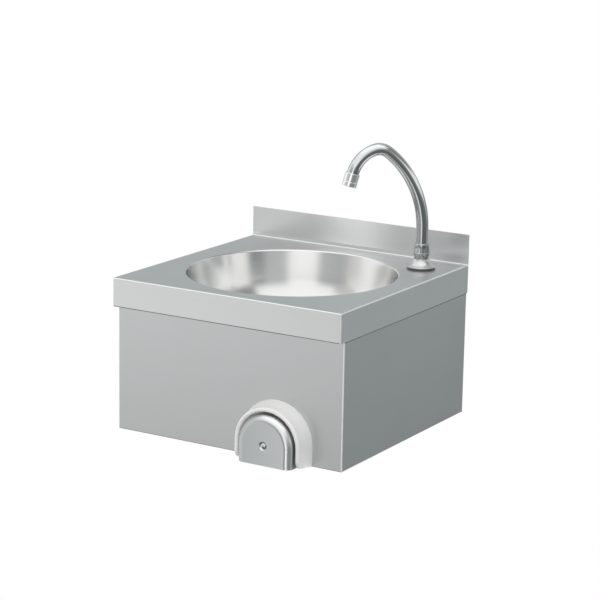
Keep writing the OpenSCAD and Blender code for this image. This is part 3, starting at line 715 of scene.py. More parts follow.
# the chrome finishes are painted darker where they mirror what lies below the horizon; chrome_tip
# also glows with painted light
plain_metal(
    "chrome", color=(0.82, 0.84, 0.84), rough=0.085, spot=(0.93, 0.93, 0.93),
    speck=0.012, scale=30, bump=0.002, below_horizon_shade=0.64,
)
plain_metal(
    "chrome_nut", color=(0.56, 0.59, 0.585), rough=0.12, spot=(0.8, 0.81, 0.81),
    speck=0.02, scale=30, bump=0.002, edge=0.35, below_horizon_shade=0.6,
)
plain_metal(
    "chrome_tip", color=(0.95, 0.955, 0.955), rough=0.17, spot=(0.95, 0.95, 0.95),
    speck=0.02, scale=30, bump=0.003, edge=0.35, below_horizon_shade=0.9, glow=0.06,
)
plain_metal(
    "chrome_soft", color=(0.79, 0.80, 0.80), rough=0.34, spot=(0.93, 0.93, 0.93),
    speck=0.02, scale=30, bump=0.004, below_horizon_shade=0.6,
)
moulded("seal_grey", color=(0.2, 0.205, 0.21), rough=0.5, bump=0.2, scale=1500)
plain_metal(
    "brass", color=(0.72, 0.53, 0.24), rough=0.34, spot=(0.88, 0.74, 0.42),
    speck=0.1, scale=80, bump=0.12, edge=0.45,
)
plain_metal(
    "copper", color=(0.70, 0.36, 0.23), rough=0.32, spot=(0.9, 0.56, 0.42),
    speck=0.16, scale=40, bump=0.05, edge=0.3,
)
plain_metal(
    "stainless_turned", color=(0.72, 0.73, 0.73), rough=0.28, speck=0.05, scale=120, bump=0.08
)
moulded("rubber", color=(0.022, 0.022, 0.024), rough=0.62, bump=0.25, scale=1500)
moulded("black_plastic", color=(0.03, 0.03, 0.032), rough=0.42, bump=0.2, scale=900)
moulded("white_plastic", color=(0.72, 0.72, 0.69), rough=0.4, bump=0.1, scale=700)
braided("braided_hose")

bodies = frame["record"]["behaviour"]["bodies"]
body_of = {node: body for body, members in bodies.items() for node in members}


def paint(ob, material):
    ob.data.materials.clear()
    ob.data.materials.append(MATS[material])


def paint_above(ob, material, height):
    """Gives the faces above a height, in mm, a second material."""
    ob.data.materials.append(MATS[material])
    for face in ob.data.polygons:
        if face.center.z > height * MM:
            face.material_index = 1


def stand_in(ob, node, slot, material=None):
    """Makes a new piece stand for a CAD node."""
    paint(ob, material or slot)
    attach(ob, body_of[node])
    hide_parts(node)


# Worktop: one folded sheet -----------------------------------------------------------------------

QUARTER = [90.0 * i / 6 for i in range(7)]  # angles round a fold


def corner_ball(side_angle, front_angle):
    """Unit vector of a corner patch, turned to the side and to the front, both 0..90 degrees."""
    side, front = sin_deg(side_angle), sin_deg(front_angle)
    return (
        side * math.sqrt(1 - front * front / 2),
        -front * math.sqrt(1 - side * side / 2),
        cos_deg(side_angle) * cos_deg(front_angle),
    )


def worktop_point(column, kind, value):
    """column: (0, x) across the flat, or (-1 or 1, angle) in the left or right side fold.
    value: a height on the apron and the splash, a Y on the deck, an angle in a fold."""
    side, place = column
    front_angle = {"apron": 90, "front": value}.get(kind, 0)
    bx, by, bz = corner_ball(place if side else 0.0, front_angle)
    x = side * (HALF_WIDTH - FOLD_R + FOLD_R * bx) if side else place
    if kind == "apron":
        return x, FRONT_Y + FOLD_R + FOLD_R * by, value
    if kind == "front":
        return x, FRONT_Y + FOLD_R + FOLD_R * by, DECK_Z - FOLD_R + FOLD_R * bz
    if kind == "deck":
        return x, value, DECK_Z - FOLD_R + FOLD_R * bz
    if kind == "foot":  # inside fold at the foot of the backsplash, radius 1.5
        drop = (FOLD_R - FOLD_R * bz) * (1 - float(smoothstep(value / 90)))
        return x, -SHEET - 1.5 + 1.5 * sin_deg(value), DECK_Z + 1.5 - 1.5 * cos_deg(value) - drop
    return x, -SHEET, value


def side_apron(net, side, deck_ys):
    """Side apron, hung on the edge of the front corner and of the deck."""
    top = []
    for angle in QUARTER[::-1]:
        bx, by, bz = corner_ball(90, angle)
        x = side * (HALF_WIDTH - FOLD_R + FOLD_R * bx)
        top.append((x, FRONT_Y + FOLD_R + FOLD_R * by, DECK_Z - FOLD_R + FOLD_R * bz))
    top += [(side * HALF_WIDTH, y, DECK_Z - FOLD_R) for y in [*deck_ys[1:], 0]]
    lower = [[(x, y, z) for x, y, _ in top] for z in (DECK_Z - 15, DECK_Z - 30, APRON_Z)]
    net.grid([top] + lower)


def apron_return(net, xs):
    """Fold at the front apron's lower edge, then back to the skirt and up against it."""
    inner_r = 1.6
    section = [
        (FRONT_Y + FOLD_R - FOLD_R * cos_deg(a), APRON_Z + FOLD_R - FOLD_R * sin_deg(a))
        for a in QUARTER
    ]
    section += [(PANEL_Y - inner_r, APRON_Z)]
    section += [
        (PANEL_Y - inner_r + inner_r * sin_deg(a), APRON_Z + inner_r - inner_r * cos_deg(a))
        for a in QUARTER[1:]
    ]
    section += [(PANEL_Y, APRON_Z + 12)]
    net.grid([[(x, y, z) for x in xs] for y, z in section])


def worktop():
    net = Net()
    xs = np.linspace(-(HALF_WIDTH - FOLD_R), HALF_WIDTH - FOLD_R, 25)
    deck_ys = list(np.linspace(FRONT_Y + FOLD_R, -SHEET - 1.5, 26))
    left_fold = [(-1, angle) for angle in QUARTER[:0:-1]]
    right_fold = [(1, angle) for angle in QUARTER[1:]]
    across = left_fold + [(0, x) for x in xs] + right_fold

    def strip(kind, values, columns=across):
        net.grid([[worktop_point(column, kind, v) for column in columns] for v in values])

    strip("apron", (APRON_Z + FOLD_R, APRON_Z + 15, APRON_Z + 30, DECK_Z - FOLD_R))
    strip("front", QUARTER[::-1])
    # the flat of the deck is one cell with the bowl's and the tap's holes
    holes = [circle(0, BOWL_Y, BOWL_R, 256), circle(TAP[0], TAP[1], 11.25, 48)]
    net.sheet(rectangle(xs, deck_ys), holes, lambda x, y: (x, y, DECK_Z))
    strip("deck", deck_ys, [(0, xs[0])] + left_fold[::-1])
    strip("deck", deck_ys, [(0, xs[-1])] + right_fold)
    strip("foot", QUARTER)
    strip("splash", (DECK_Z + 1.5, DECK_Z + 16, DECK_Z + 32, TOP_Z))
    for side in (-1, 1):
        side_apron(net, side, deck_ys)
    # the front corners run down to the apron's lower edge
    for side in (-1, 1):
        corner = [worktop_point((side, angle), "apron", APRON_Z) for angle in QUARTER]
        net.grid([[(x, y, z) for x, y, _ in corner] for z in (APRON_Z + FOLD_R, APRON_Z)])
    apron_return(net, xs)
    centre = (0, BOWL_Y, DECK_Z - 60)
    ob = make("worktop_sheet", net, thick=SHEET, out_from=centre, sharp=38)
    stand_in(ob, "worktop", "brushed_sheet")


# Bowl --------------------------------------------------------------------------------------------


def bowl_profile(depth, floor_z):
    """(r, z) from flange to floor, at a depth behind the inner surface."""
    wall_lean, floor_slope = 12, 4  # degrees
    lean, slope = math.radians(wall_lean), math.radians(floor_slope)
    corner_r, lip_r, seat_r = 120.0, 3.0, 36.0
    lip_x = BOWL_R - 1.95
    wall_x = lip_x - lip_r * math.cos(lean)
    wall_z = DECK_Z - lip_r + lip_r * math.sin(lean)
    # where the leaning wall and the sloping floor would meet
    rise = math.tan(slope) * (wall_x - seat_r - math.tan(lean) * wall_z)
    meet_z = (floor_z + rise) / (1 - math.tan(slope) * math.tan(lean))
    meet_x = wall_x - math.tan(lean) * (wall_z - meet_z)
    # centre of the corner that rounds the meeting
    turn = math.pi / 2 - lean - slope
    tangent = corner_r * math.tan(turn / 2)
    corner_x = meet_x + math.sin(lean) * tangent - math.cos(lean) * corner_r
    corner_z = meet_z + math.cos(lean) * tangent + math.sin(lean) * corner_r
    return (
        [(BOWL_R, DECK_Z - depth)]
        + arc(lip_x, DECK_Z - lip_r, lip_r - depth, 90, 180 - wall_lean, 14)
        + arc(corner_x, corner_z, corner_r + depth, -wall_lean, floor_slope - 90, 36)
        + [(seat_r + depth * 0.3, floor_z - depth)]
    )


def bowl():
    floor_z = AT_WASTE.translation[2]
    seat_z = floor_z - SEAT_DEPTH
    seat = [
        (35.6, floor_z - 0.5), (35.3, floor_z - 3.2), (34.9, seat_z), (25.2, seat_z),
        (25.2, seat_z - SHEET), (36.0, seat_z - SHEET), (36.4, floor_z - 3.3),
    ]
    inner, outer = bowl_profile(0.0, floor_z), bowl_profile(SHEET, floor_z)
    net = lathe(inner + seat + outer[::-1], 256)
    ob = make("bowl_pressing", net, matrix=Matrix.Translation((0, BOWL_Y, 0)), sharp=40)
    stand_in(ob, "bowl", "satin_bowl")
    # the flange and the upper part of the lip are brushed with the deck
    paint_above(ob, "lip_sheet", DECK_Z - 0.7)


# Skirt -------------------------------------------------------------------------------------------


def skirt_plan(inset):
    """Plan of the U at an inset: left wall with its corner, front, right wall with its corner."""
    r = max(FOLD_R - inset, 0.0)
    half, front_y = PANEL_X - inset, PANEL_Y + inset
    left_corner = arc(-half + r, front_y + r, r, 180, 270, 8)
    right_corner = arc(half - r, front_y + r, r, 270, 360, 8)
    ys = np.linspace(-FOLD_R, front_y + r, 14)
    xs = np.linspace(-half + r, half - r, 14)
    left = [(-half, y) for y in ys[:-1]] + left_corner
    front = [(x, front_y) for x in xs[1:-1]]
    right = right_corner + [(half, y) for y in ys[-2::-1]]
    return left, front, right


def skirt():
    net = Net()
    hem_r = 1.4
    # bottom hem and its fold: (inset, z)
    hem = [(12.0, 0.0), (6.0, 0.0), (hem_r, 0.0)]
    hem += [(hem_r - hem_r * sin_deg(a), hem_r - hem_r * cos_deg(a)) for a in QUARTER[1:]]
    net.grid([[(x, y, z) for part in skirt_plan(inset) for x, y in part] for inset, z in hem])
    left, front, right = skirt_plan(0.0)
    zs = [hem_r] + list(np.linspace(20, SKIRT_TOP, 10))
    for wall in (left, right):
        net.grid([[(x, y, z) for x, y in wall] for z in zs])
    # front panel as one flat cell, with the valve's holes
    xs = [left[-1][0]] + [x for x, _ in front] + [right[0][0]]
    knee_x, _, knee_z = KNEE
    holes = [circle(knee_x, knee_z, 12.3, 48)]
    holes += [circle(knee_x + offset, knee_z, 2.6, 20) for offset in (-27, 27)]
    net.sheet(rectangle(xs, zs), holes, lambda x, z: (x, PANEL_Y, z))
    # flanges along the wall
    flange_zs = [hem_r] + list(np.linspace(20, SKIRT_TOP - 3.8, 10))
    for side in (-1, 1):
        plan = [
            (side * (PANEL_X - FOLD_R + FOLD_R * cos_deg(a)), -FOLD_R + FOLD_R * sin_deg(a))
            for a in QUARTER
        ]
        plan += [(side * (PANEL_X - 12), 0.0), (side * (PANEL_X - 30), 0.0)]
        net.grid([[(x, y, z) for x, y in plan] for z in flange_zs])
        net.grid([[(x, y, z) for x, y in plan] for z in (0.0, hem_r)])
    ob = make("skirt_sheet", net, thick=SHEET, out_from=(0, BOWL_Y, 120), sharp=38)
    stand_in(ob, "skirt", "brushed_sheet", "skirt_sheet")


# Knee guard and pad ------------------------------------------------------------------------------

ARCH_ANGLES = [math.pi - math.pi * i / 64 for i in range(65)]  # left over the top to right


def knee_guard():
    """Arch with a rolled outer rim; both legs run down to the skirt's bottom edge."""
    bead, foot_r = 3.5, 13
    inner_r = GUARD_R - 12.5
    # (distance from the axis, distance out of the panel)
    section = [
        (GUARD_R, 0.0), (GUARD_R - 0.5, 1.2), (GUARD_R - 1.3, 4.5), (GUARD_R - 2.2, 8.5),
        (inner_r + 8.6, 13.0), (inner_r + 7.6, 17.5), (inner_r + 7.1, 21.5),
    ]
    section += arc(inner_r + bead, GUARD_OUT - bead, bead, 5, 180, 16)
    section += [(inner_r, 20.0), (inner_r + 0.2, 14.0)]

    def leg_row(side, height):
        """The rim is rounded back at the foot of the leg."""
        scale = 1.0
        if height < foot_r:
            drop = math.sqrt(max(0.0, foot_r**2 - (foot_r - height) ** 2))
            scale = (GUARD_OUT - foot_r + drop) / GUARD_OUT
        return [(side * d, height - KNEE[2], out * scale) for d, out in section]

    leg_heights = [0, 0.6, 1.6, 3, 4.8, 7, 9.8, 13, 18, 24]
    rows = [leg_row(-1, height) for height in leg_heights]
    rows += [[(d * math.cos(a), d * math.sin(a), out) for d, out in section] for a in ARCH_ANGLES]
    rows += [leg_row(1, height) for height in leg_heights[::-1]]
    net = Net()
    net.grid(rows)
    inner_point = AT_KNEE @ Vector((0, 0, 6))
    ob = make(
        "knee_guard_pressing", net, matrix=AT_KNEE, thick=1.4, out_from=inner_point, sharp=50
    )
    stand_in(ob, "knee_guard", "satin_pressing", "guard_satin")


def knee_pad():
    """Arched cap with a flat face and a dimple for its screw."""
    edge_r, dimple_r = 11.0, 10.0
    flat = PAD_R - edge_r
    # wall and rounded edge: (distance from the axis, distance out of the panel)
    edge = [
        (PAD_R, PAD_OUT - PAD_DEPTH), (PAD_R, PAD_OUT - 0.7 * PAD_DEPTH), (PAD_R, PAD_OUT - 13.0)
    ]
    edge += arc(PAD_R - edge_r, PAD_OUT - edge_r, edge_r, 0, 90, 14)
    section = edge + [(24.0, PAD_OUT), (dimple_r, PAD_OUT)]
    net = Net()
    net.grid([[(d * math.cos(a), d * math.sin(a), out) for d, out in section] for a in ARCH_ANGLES])
    for side in (-1, 1):
        net.grid([[(side * d, -drop, out) for d, out in edge] for drop in (0, 10, 20, 27, 30)])
    # lower half of the face, round the dimple
    outline = [(-flat, -30.0)] + [(flat, y) for y in (-30.0, -27.0, -20.0, -10.0, 0.0)]
    outline += [(24.0, 0.0)]
    outline += [(dimple_r * cos_deg(a), dimple_r * sin_deg(a)) for a in np.linspace(0, -180, 65)]
    outline += [(-24.0, 0.0)] + [(-flat, y) for y in (0.0, -10.0, -20.0, -27.0)]
    net.sheet(outline, [], lambda x, y: (x, y, PAD_OUT))
    dimple = [(dimple_r, PAD_OUT), (6.9, PAD_OUT)]
    dimple += [(6.9 - 0.7 * sin_deg(a), PAD_OUT - 0.7 + 0.7 * cos_deg(a)) for a in (20, 40, 60)]
    dimple += [
        (5.1, PAD_OUT - 1.6), (4.6, PAD_OUT - 1.95), (4.2, PAD_OUT - 2.0), (3.1, PAD_OUT - 2.0)
    ]
    turned = lathe(dimple)
    net.add(turned.verts, turned.faces)
    inner_point = AT_KNEE @ Vector((0, 0, 10))
    ob = make("knee_pad_cap", net, matrix=AT_KNEE, thick=1.5, out_from=inner_point, sharp=40)
    stand_in(ob, "knee_pad", "brushed_sheet", "pad_sheet")


def pad_screw():
    profile = [  # (r, z from the pad's face)
        (0, -14), (2.5, -14), (2.9, -13.6), (2.9, -2.0), (4.1, -2.0), (4.2, -1.9), (4.2, -1.15)
    ]
    profile = [(r, PAD_OUT + z) for r, z in profile]
    profile += arc(0, PAD_OUT - 6.2, 6.65, 50, 90, 12)
    ob = make("knee_pad_screw_head", lathe(profile, 64), matrix=AT_KNEE)
    stand_in(ob, "knee_pad_screw", "chrome")


# Tap. Profiles are (r, z above the deck) ---------------------------------------------------------


def tap_flange():
    top = [(10.6, 14.4), (10.6, 15.6), (12.0, 15.7), (12.5, 15.45), (12.7, 15.0)]
    bell = arc(26.8, 18.6, 14.6, 196, 252, 28)
    rim = arc(21.9, 3.7, 1.2, 75, -90, 12)
    under = [(20.6, 2.5), (20.6, 3.6)] + arc(26.2, 18.2, 15.6, 248, 196, 20)
    net = lathe(top + bell + rim + under + [top[0]])
    ob = make("tap_flange_bell", net, matrix=AT_TAP)
    stand_in(ob, "tap_flange", "chrome", "chrome_soft")


def collar_nut():
    profile = [(9.45, 17.1), (10.4, 17.1), (10.8, 17.4), (11.4, 19.2)]
    profile += arc(11.3, 24.5, 1.6, -30, 45, 10)
    profile += [
        (12.2, 28.0), (11.9, 30.6), (11.62, 33.2), (11.35, 35.8), (11.08, 38.2), (11.0, 38.8),
        (10.8, 39.5), (10.4, 39.95), (9.65, 40.0), (9.6, 39.8), (9.6, 34.6),
    ]
    bottom, top = 18.5, 36.5  # ends of the flutes
    count, half_width, depth = 12, 0.42, 0.75  # half width as a share of the pitch

    def flutes(turn, r, z):
        if r < 10.9 or z < bottom or z > top:
            return r
        fade = float(smoothstep((z - bottom) / 3.0)) * float(smoothstep((top - z) / 2.5))
        across = (turn * count) % 1.0
        hollow = max(0.0, 1 - (abs(across - 0.5) / half_width) ** 2)
        return r - depth * hollow * fade

    net = lathe(subdivide(profile, 0.8), 192, radial=flutes)
    ob = make("collar_nut_fluted", net, matrix=AT_TAP)
    stand_in(ob, "collar_nut", "chrome", "chrome_nut")


SPOUT_R = 9.5
# headings (reach, rise) of the straights between bends, and the bends' radii
SPOUT_HEADINGS = [(0, 1), (0.6, 0.8), (0.8, 0.6), (0.936, -0.352), (0.28, -0.96)]
SPOUT_BENDS = [157.0, 135.0, 23.0, 53.5]


def spout_line():
    """(reach, height, heading) along the tube's centreline, and the point where it ends."""
    stations = [(0.0, z, (0.0, 1.0)) for z in (30.5, 32.4, 32.6, 45.0)]
    end = (0.0, 63.0)
    for radius, before, after in zip(SPOUT_BENDS, SPOUT_HEADINGS, SPOUT_HEADINGS[1:]):
        start_angle, end_angle = math.atan2(*before), math.atan2(*after)
        count = max(8, int((end_angle - start_angle) / math.radians(2.0)))
        cx, cz = end[0] + radius * before[1], end[1] - radius * before[0]
        for i in range(count):
            angle = start_angle + (end_angle - start_angle) * i / count
            sine, cosine = math.sin(angle), math.cos(angle)
            stations.append((cx - radius * cosine, cz + radius * sine, (sine, cosine)))
        end = (cx - radius * after[1], cz + radius * after[0])
    stations.append((*end, SPOUT_HEADINGS[-1]))
    return stations, end


SPOUT, TIP = spout_line()
TIP_REACH, TIP_RISE = SPOUT_HEADINGS[-1]
# local Z leaves the spout's tip along the tube
AT_TIP = AT_SPOUT @ Matrix(
    (
        (TIP_RISE, 0, TIP_REACH, TIP[0]),
        (0, 1, 0, 0),
        (-TIP_REACH, 0, TIP_RISE, TIP[1]),
        (0, 0, 0, 1),
    )
)


def spout_tube():
    overrun = 13  # length beyond the tip's station
    end = (TIP[0] + TIP_REACH * overrun, TIP[1] + TIP_RISE * overrun, SPOUT_HEADINGS[-1])
    line = SPOUT + [end]
    radii = [10.6, 10.6] + [SPOUT_R] * (len(line) - 2)
    segments = 96
    angles = [2 * math.pi * j / segments for j in range(segments)]
    rows = []
    for (s, z, (head_s, head_z)), r in zip(line, radii):
        rows.append(
            [
                (s + r * math.cos(a) * head_z, r * math.sin(a), z - r * math.cos(a) * head_s)
                for a in angles
            ]
        )
    net = Net()
    net.grid(rows, closed=True)
    ob = make("spout_tube_bent", net, matrix=AT_SPOUT, thick=1.5, sharp=40)
    stand_in(ob, "spout_tube", "chrome")


def aerator():
    length = 21.0
    back = [(9.52, 0.0), (10.4, 0.0), (10.9, 0.25), (11.25, 0.6), (11.4, 1.0)]
    front = [  # (r, distance back from the outlet)
        (11.4, 8.3), (11.3, 8.0), (11.12, 7.8), (11.1, 7.5), (11.25, 7.25), (11.45, 7.05),
        (11.5, 6.8), (11.5, 1.0), (11.4, 0.6), (11.1, 0.2), (10.7, 0.0), (9.2, 0.0), (9.0, 0.2),
        (9.0, 1.5), (10.0, 1.5), (10.0, 7.9), (9.52, 7.9),
    ]
    profile = back + [(r, length - z) for r, z in front] + [back[0]]
    ob = make("aerator_shell", lathe(profile, 96), matrix=AT_TIP)
    stand_in(ob, "aerator_housing", "chrome", "chrome_tip")


def tap_shank():
    """Threaded tail in brass; the collar between the flange and the nut is plated."""
    bore, upper_bore = 6.0, 7.45
    thread_r, bottom, top, pitch, depth = 10.48, -54.1, -10.0, 1.814, 0.9
    steps = int((top - bottom) / pitch * 10)
    thread = [(thread_r, bottom + (top - bottom) * i / steps) for i in range(steps + 1)]
    profile = [(bore, -54.6), (bore + 0.5, -55), (9.6, -55)] + thread
    profile += [
        (thread_r, 15.6), (11.45, 15.6), (11.6, 15.75), (11.6, 16.85), (11.45, 17.0), (9.4, 17.0),
        (9.4, 28.6), (9.0, 29.0), (upper_bore, 29.0), (upper_bore, 1.0), (bore, 1.0),
        (bore, -54.6),
    ]

    def groove(turn, r, z):
        """Helical groove that fades out over one pitch at both ends."""
        phase = ((z - bottom) / pitch - turn) % 1.0
        crest = 1 - abs(2 * phase - 1)
        fade = min(1, (z - bottom) / pitch, (top - z) / pitch)
        return r - depth * float(smoothstep(1 - crest * 1.15)) * max(0.0, fade)

    ob = make("tap_shank_turned", lathe(profile, 96, radial=groove), matrix=AT_TAP, sharp=40)
    stand_in(ob, "tap_shank", "brass")
    paint_above(ob, "chrome", DECK_Z + 13.0)


# Hose --------------------------------------------------------------------------------------------


def hose_line():
    """(point, direction) along the hose: up from the valve, over to the right,
    back along the side and up to the tap."""
    step, bend = 0.75, 26.0
    valve_x, tap_x, tap_y = KNEE[0], TAP[0], TAP[1]
    run_y, run_z = PANEL_Y + 30.0, 112.0
    # a line has its two ends; an arc its centre, the way to its start and its first direction
    legs = [
        ("line", (valve_x, run_y, KNEE[2] + 44), (valve_x, run_y, run_z - bend)),
        ("arc", (valve_x + bend, run_y, run_z - bend), (-1, 0, 0), (0, 0, 1)),
        ("line", (valve_x + bend, run_y, run_z), (tap_x - bend, run_y, run_z)),
        ("arc", (tap_x - bend, run_y + bend, run_z), (0, -1, 0), (1, 0, 0)),
        ("line", (tap_x, run_y + bend, run_z), (tap_x, tap_y - bend, run_z)),
        ("arc", (tap_x, tap_y - bend, run_z + bend), (0, 0, -1), (0, 1, 0)),
        ("line", (tap_x, tap_y, run_z + bend), (tap_x, tap_y, DECK_Z - 63)),
    ]
    stations = []
    for kind, *places in legs:
        if kind == "line":
            start, end = map(Vector, places)
            count = max(2, int((end - start).length / step))
            way = (end - start).normalized()
            stations += [(start.lerp(end, i / count), way) for i in range(count)]
        else:
            centre, out, ahead = map(Vector, places)
            count = int(math.pi / 2 * bend / step)
            for i in range(count):
                angle = math.pi / 2 * i / count
                sine, cosine = math.sin(angle), math.cos(angle)
                point = centre + bend * (out * cosine + ahead * sine)
                stations.append((point, (ahead * cosine - out * sine).normalized()))
    stations.append((Vector(legs[-1][2]), Vector((0, 0, 1))))
    return stations


def braid_radius(along, turn):
    """Radius of the hose where two sets of strands pass over and under each other."""
    radius, relief, under = 6.0, 0.42, 0.55
    first = along / BRAID_PITCH * 2 + BRAID_CARRIERS * turn
    second = along / BRAID_PITCH * 2 - BRAID_CARRIERS * turn
    first_edge = abs((first % 1.0) - 0.5) * 2
    second_edge = abs((second % 1.0) - 0.5) * 2
    first_over = (math.floor(first) + math.floor(second)) % 2 == 0
    height = max(
        (1 - first_edge**3) * (1.0 if first_over else under),
        (1 - second_edge**3) * (under if first_over else 1.0),
    )
    return radius - relief * (1 - height)


def spout_hose():
    """Hose with its stainless braid raised on the surface; UVs run along (mm) and around."""
    line = hose_line()
    segments = 96
    side = Vector((0, 1, 0))
    verts, lengths, previous = [], [0.0], None
    for point, way in line:
        side = (side - way * side.dot(way)).normalized()
        up = way.cross(side)
        if previous is not None:
            lengths.append(lengths[-1] + (point - previous).length)
        previous = point
        for j in range(segments):
            r = braid_radius(lengths[-1], j / segments)
            angle = 2 * math.pi * (j / segments)
            offset = side * (r * math.cos(angle)) + up * (r * math.sin(angle))
            verts.append(tuple((point + side * (r * math.cos(angle)) + up * (r * math.sin(angle)))
                               * MM) if offset else None)
    faces, uvs = [], []
    for i in range(len(line) - 1):
        here, after = i * segments, (i + 1) * segments
        near, far = lengths[i], lengths[i + 1]
        for j in range(segments):
            k = (j + 1) % segments
            faces.append((here + j, here + k, after + k, after + j))
            start, end = j / segments, (j + 1) / segments
            uvs += [(near, start), (near, end), (far, end), (far, start)]
    last = len(line) - 1
    faces.append(tuple(range(segments - 1, -1, -1)))
    faces.append(tuple(last * segments + j for j in range(segments)))
    uvs += [(lengths[0], 0.0)] * segments + [(lengths[last], 0.0)] * segments
    mesh = bpy.data.meshes.new("spout_hose_braided")
    mesh.from_pydata(verts, [], faces)
    layer = mesh.uv_layers.new(name="along_around")
    layer.data.foreach_set("uv", np.array(uvs, np.float32).ravel())
    mesh.validate()
    smooth_mesh(mesh, 50)
    ob = bpy.data.objects.new("spout_hose_braided", mesh)
    bpy.context.scene.collection.objects.link(ob)
    stand_in(ob, "spout_hose", "braided_hose")


# Waste. Profiles are (r, z from the bowl's floor) ------------------------------------------------


def strainer():
    """Cup strainer: dished rim, straight wall, and a floor with two rings of holes."""
    floor_r, floor_z, segments = 20.4, -8.0, 96
    rim = [
        (floor_r, floor_z), (21.0, -7.8), (21.3, -7.2), (21.3, -2.6), (21.6, -1.7), (22.4, -1.3),
        (33.8, -1.3), (34.6, -1.5), (35.0, -1.95),
    ]
    net = lathe(rim, segments)
    holes = [circle(0, 0, 3.1, 24)]
    # (ring radius, first angle, holes in the ring)
    for ring_r, first, count in ((9.5, 0, 8), (16.5, 15, 12)):
        for i in range(count):
            angle = first + i * 360 // count
            holes.append(circle(ring_r * cos_deg(angle), ring_r * sin_deg(angle), 2.4, 24))
    net.sheet(circle(0, 0, floor_r, segments), holes, lambda x, y: (x, y, floor_z))
    below = AT_WASTE @ Vector((0, 0, -60))
    ob = make("strainer_cup", net, matrix=AT_WASTE, thick=1.15, sharp=40, out_from=below)
    stand_in(ob, "waste_strainer", "stainless_turned")


def strainer_screw():
    profile = [
        (0, -34), (2.4, -34), (2.95, -33.4), (2.95, -8), (5.4, -8), (5.6, -7.8), (5.6, -6.95),
        (5.3, -6.5), (4.4, -5.8), (2.6, -5.35), (0, -5.2),
    ]
    ob = make("strainer_screw_head", lathe(profile, 64), matrix=AT_WASTE)
    stand_in(ob, "strainer_screw", "stainless_turned")


# Return spring -----------------------------------------------------------------------------------


def return_spring():
    """Round wire with a flat turn at each end."""
    turns, coil_r, wire_r = 8, 9.0, 0.7
    back, front = -83.0, -56.9  # ends along the knee axis
    flat_rise = 0.98  # rise of an end turn, in wire diameters
    steps, around = 360, 12
    rows = []
    for i in range(steps + 1):
        turn = turns * i / steps
        lift = min(max((turn - 1) / (turns - 2), 0.0), 1.0)
        z = back + wire_r + 2 * wire_r * min(turn, 1) * flat_rise - wire_r * flat_rise
        z += 2 * wire_r * max(turn - turns + 1, 0) * flat_rise
        z += (front - back - 4 * wire_r) * lift
        angle = 2 * math.pi * turn
        rows.append(
            [
                (r * math.cos(angle), r * math.sin(angle), z + rise)
                for r, rise in circle(coil_r, 0.0, wire_r, around)
            ]
        )
    net = Net()
    net.grid(rows, closed=True)
    for end in (rows[0], rows[-1]):
        net.add(end, [tuple(range(around))])
    ob = make("return_spring_coil", net, matrix=AT_KNEE, sharp=50, weighted=False)
    paint(ob, "zinc_plate")
    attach(ob, "housing")
    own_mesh(ob)
    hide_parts("return_spring")


worktop()
bowl()
skirt()
knee_guard()
knee_pad()
pad_screw()
tap_flange()
collar_nut()
spout_tube()
aerator()
tap_shank()
spout_hose()
strainer()
strainer_screw()
return_spring()

# Visible CAD pieces keep their shape, with smooth round faces; those not listed are zinc plated ----

CAD_FINISHES = {
    "brushed_sheet": ["hook_strip"],
    "stainless_turned": ["plunger_rod", "mixer_spindle"],
    "white_plastic": [
        "plunger_piston", "glide_ring", "thrust_washer", "aerator_insert", "waste_body",
    ],
    "black_plastic": ["mixer_knob"],
    "rubber": [
        "piston_seal", "rod_wiper_seal", "mixer_spindle_seal", "shank_washer",
        "spigot_o_rings", "aerator_seal", "strainer_gasket", "waste_gasket",
    ],
    "seal_grey": ["flange_seal"],
    "brass": [
        "valve_body", "valve_bonnet", "valve_locknut", "valve_rear_cap", "link_pipe_nuts",
        "mixer_body", "mixer_cap", "check_valves", "tap_shank", "shank_locknut", "spout_spigot",
    ],
    "copper": ["feed_link_pipe"],
    "braided_hose": ["spout_hose"],
}
finish_of = {node: finish for finish, members in CAD_FINISHES.items() for node in members}

for name, ob in frame["nodes"].items():
    if ob.hide_render:
        continue
    paint(ob, finish_of.get(name, "zinc_plate"))
    ob.data.polygons.foreach_set("use_smooth", [True] * len(ob.data.polygons))
    weld = ob.modifiers.new("weld", "WELD")
    weld.merge_threshold = 0.000004
    weight_normals(ob)

# World: soft-edged panels for the reflections and the light, plain white for the camera ----------

# azimuth from -Y towards +X, elevation, half width, half height, feather (degrees); level.
# Later panels cover earlier ones.
PANELS = [
    (0, 50, 181, 45, 10, (0.92, 0.925, 0.925)),
    (0, 72, 181, 24, 16, 1.15),
    (180, 50, 66, 24, 16, 0.48),
    (132, 38, 24, 20, 12, 0.3),
    (-150, 14, 60, 24, 14, (0.45, 0.482, 0.487)),
    (-38, 13, 15, 14, 10, 0.52),
    (115, 5, 32, 14, 12, 0.87),
    (112, 29, 34, 12, 8, 0.24),
    (-67, -15, 45, 20, 8, (0.92, 0.93, 0.925)),
    (47, -32, 70, 34, 8, (0.185, 0.198, 0.198)),
    (58, 10, 22, 11, 12, (0.42, 0.44, 0.44)),
    (72, 9, 9.5, 9, 8, (0.2, 0.215, 0.215)),
    (-16, 9, 18, 9, 10, (0.4, 0.41, 0.415)),
    (14, -20, 11, 24, 8, 1.35),
    (16, 28, 16, 15, 8, 0.94),
    (151, -19, 26, 24, 14, (0.318, 0.348, 0.348)),
    (0, -62, 181, 28, 10, (0.18, 0.19, 0.19)),
    (140, -56, 50, 23, 8, 1.05),
    (118, -40, 18, 12, 8, 1.3),
]


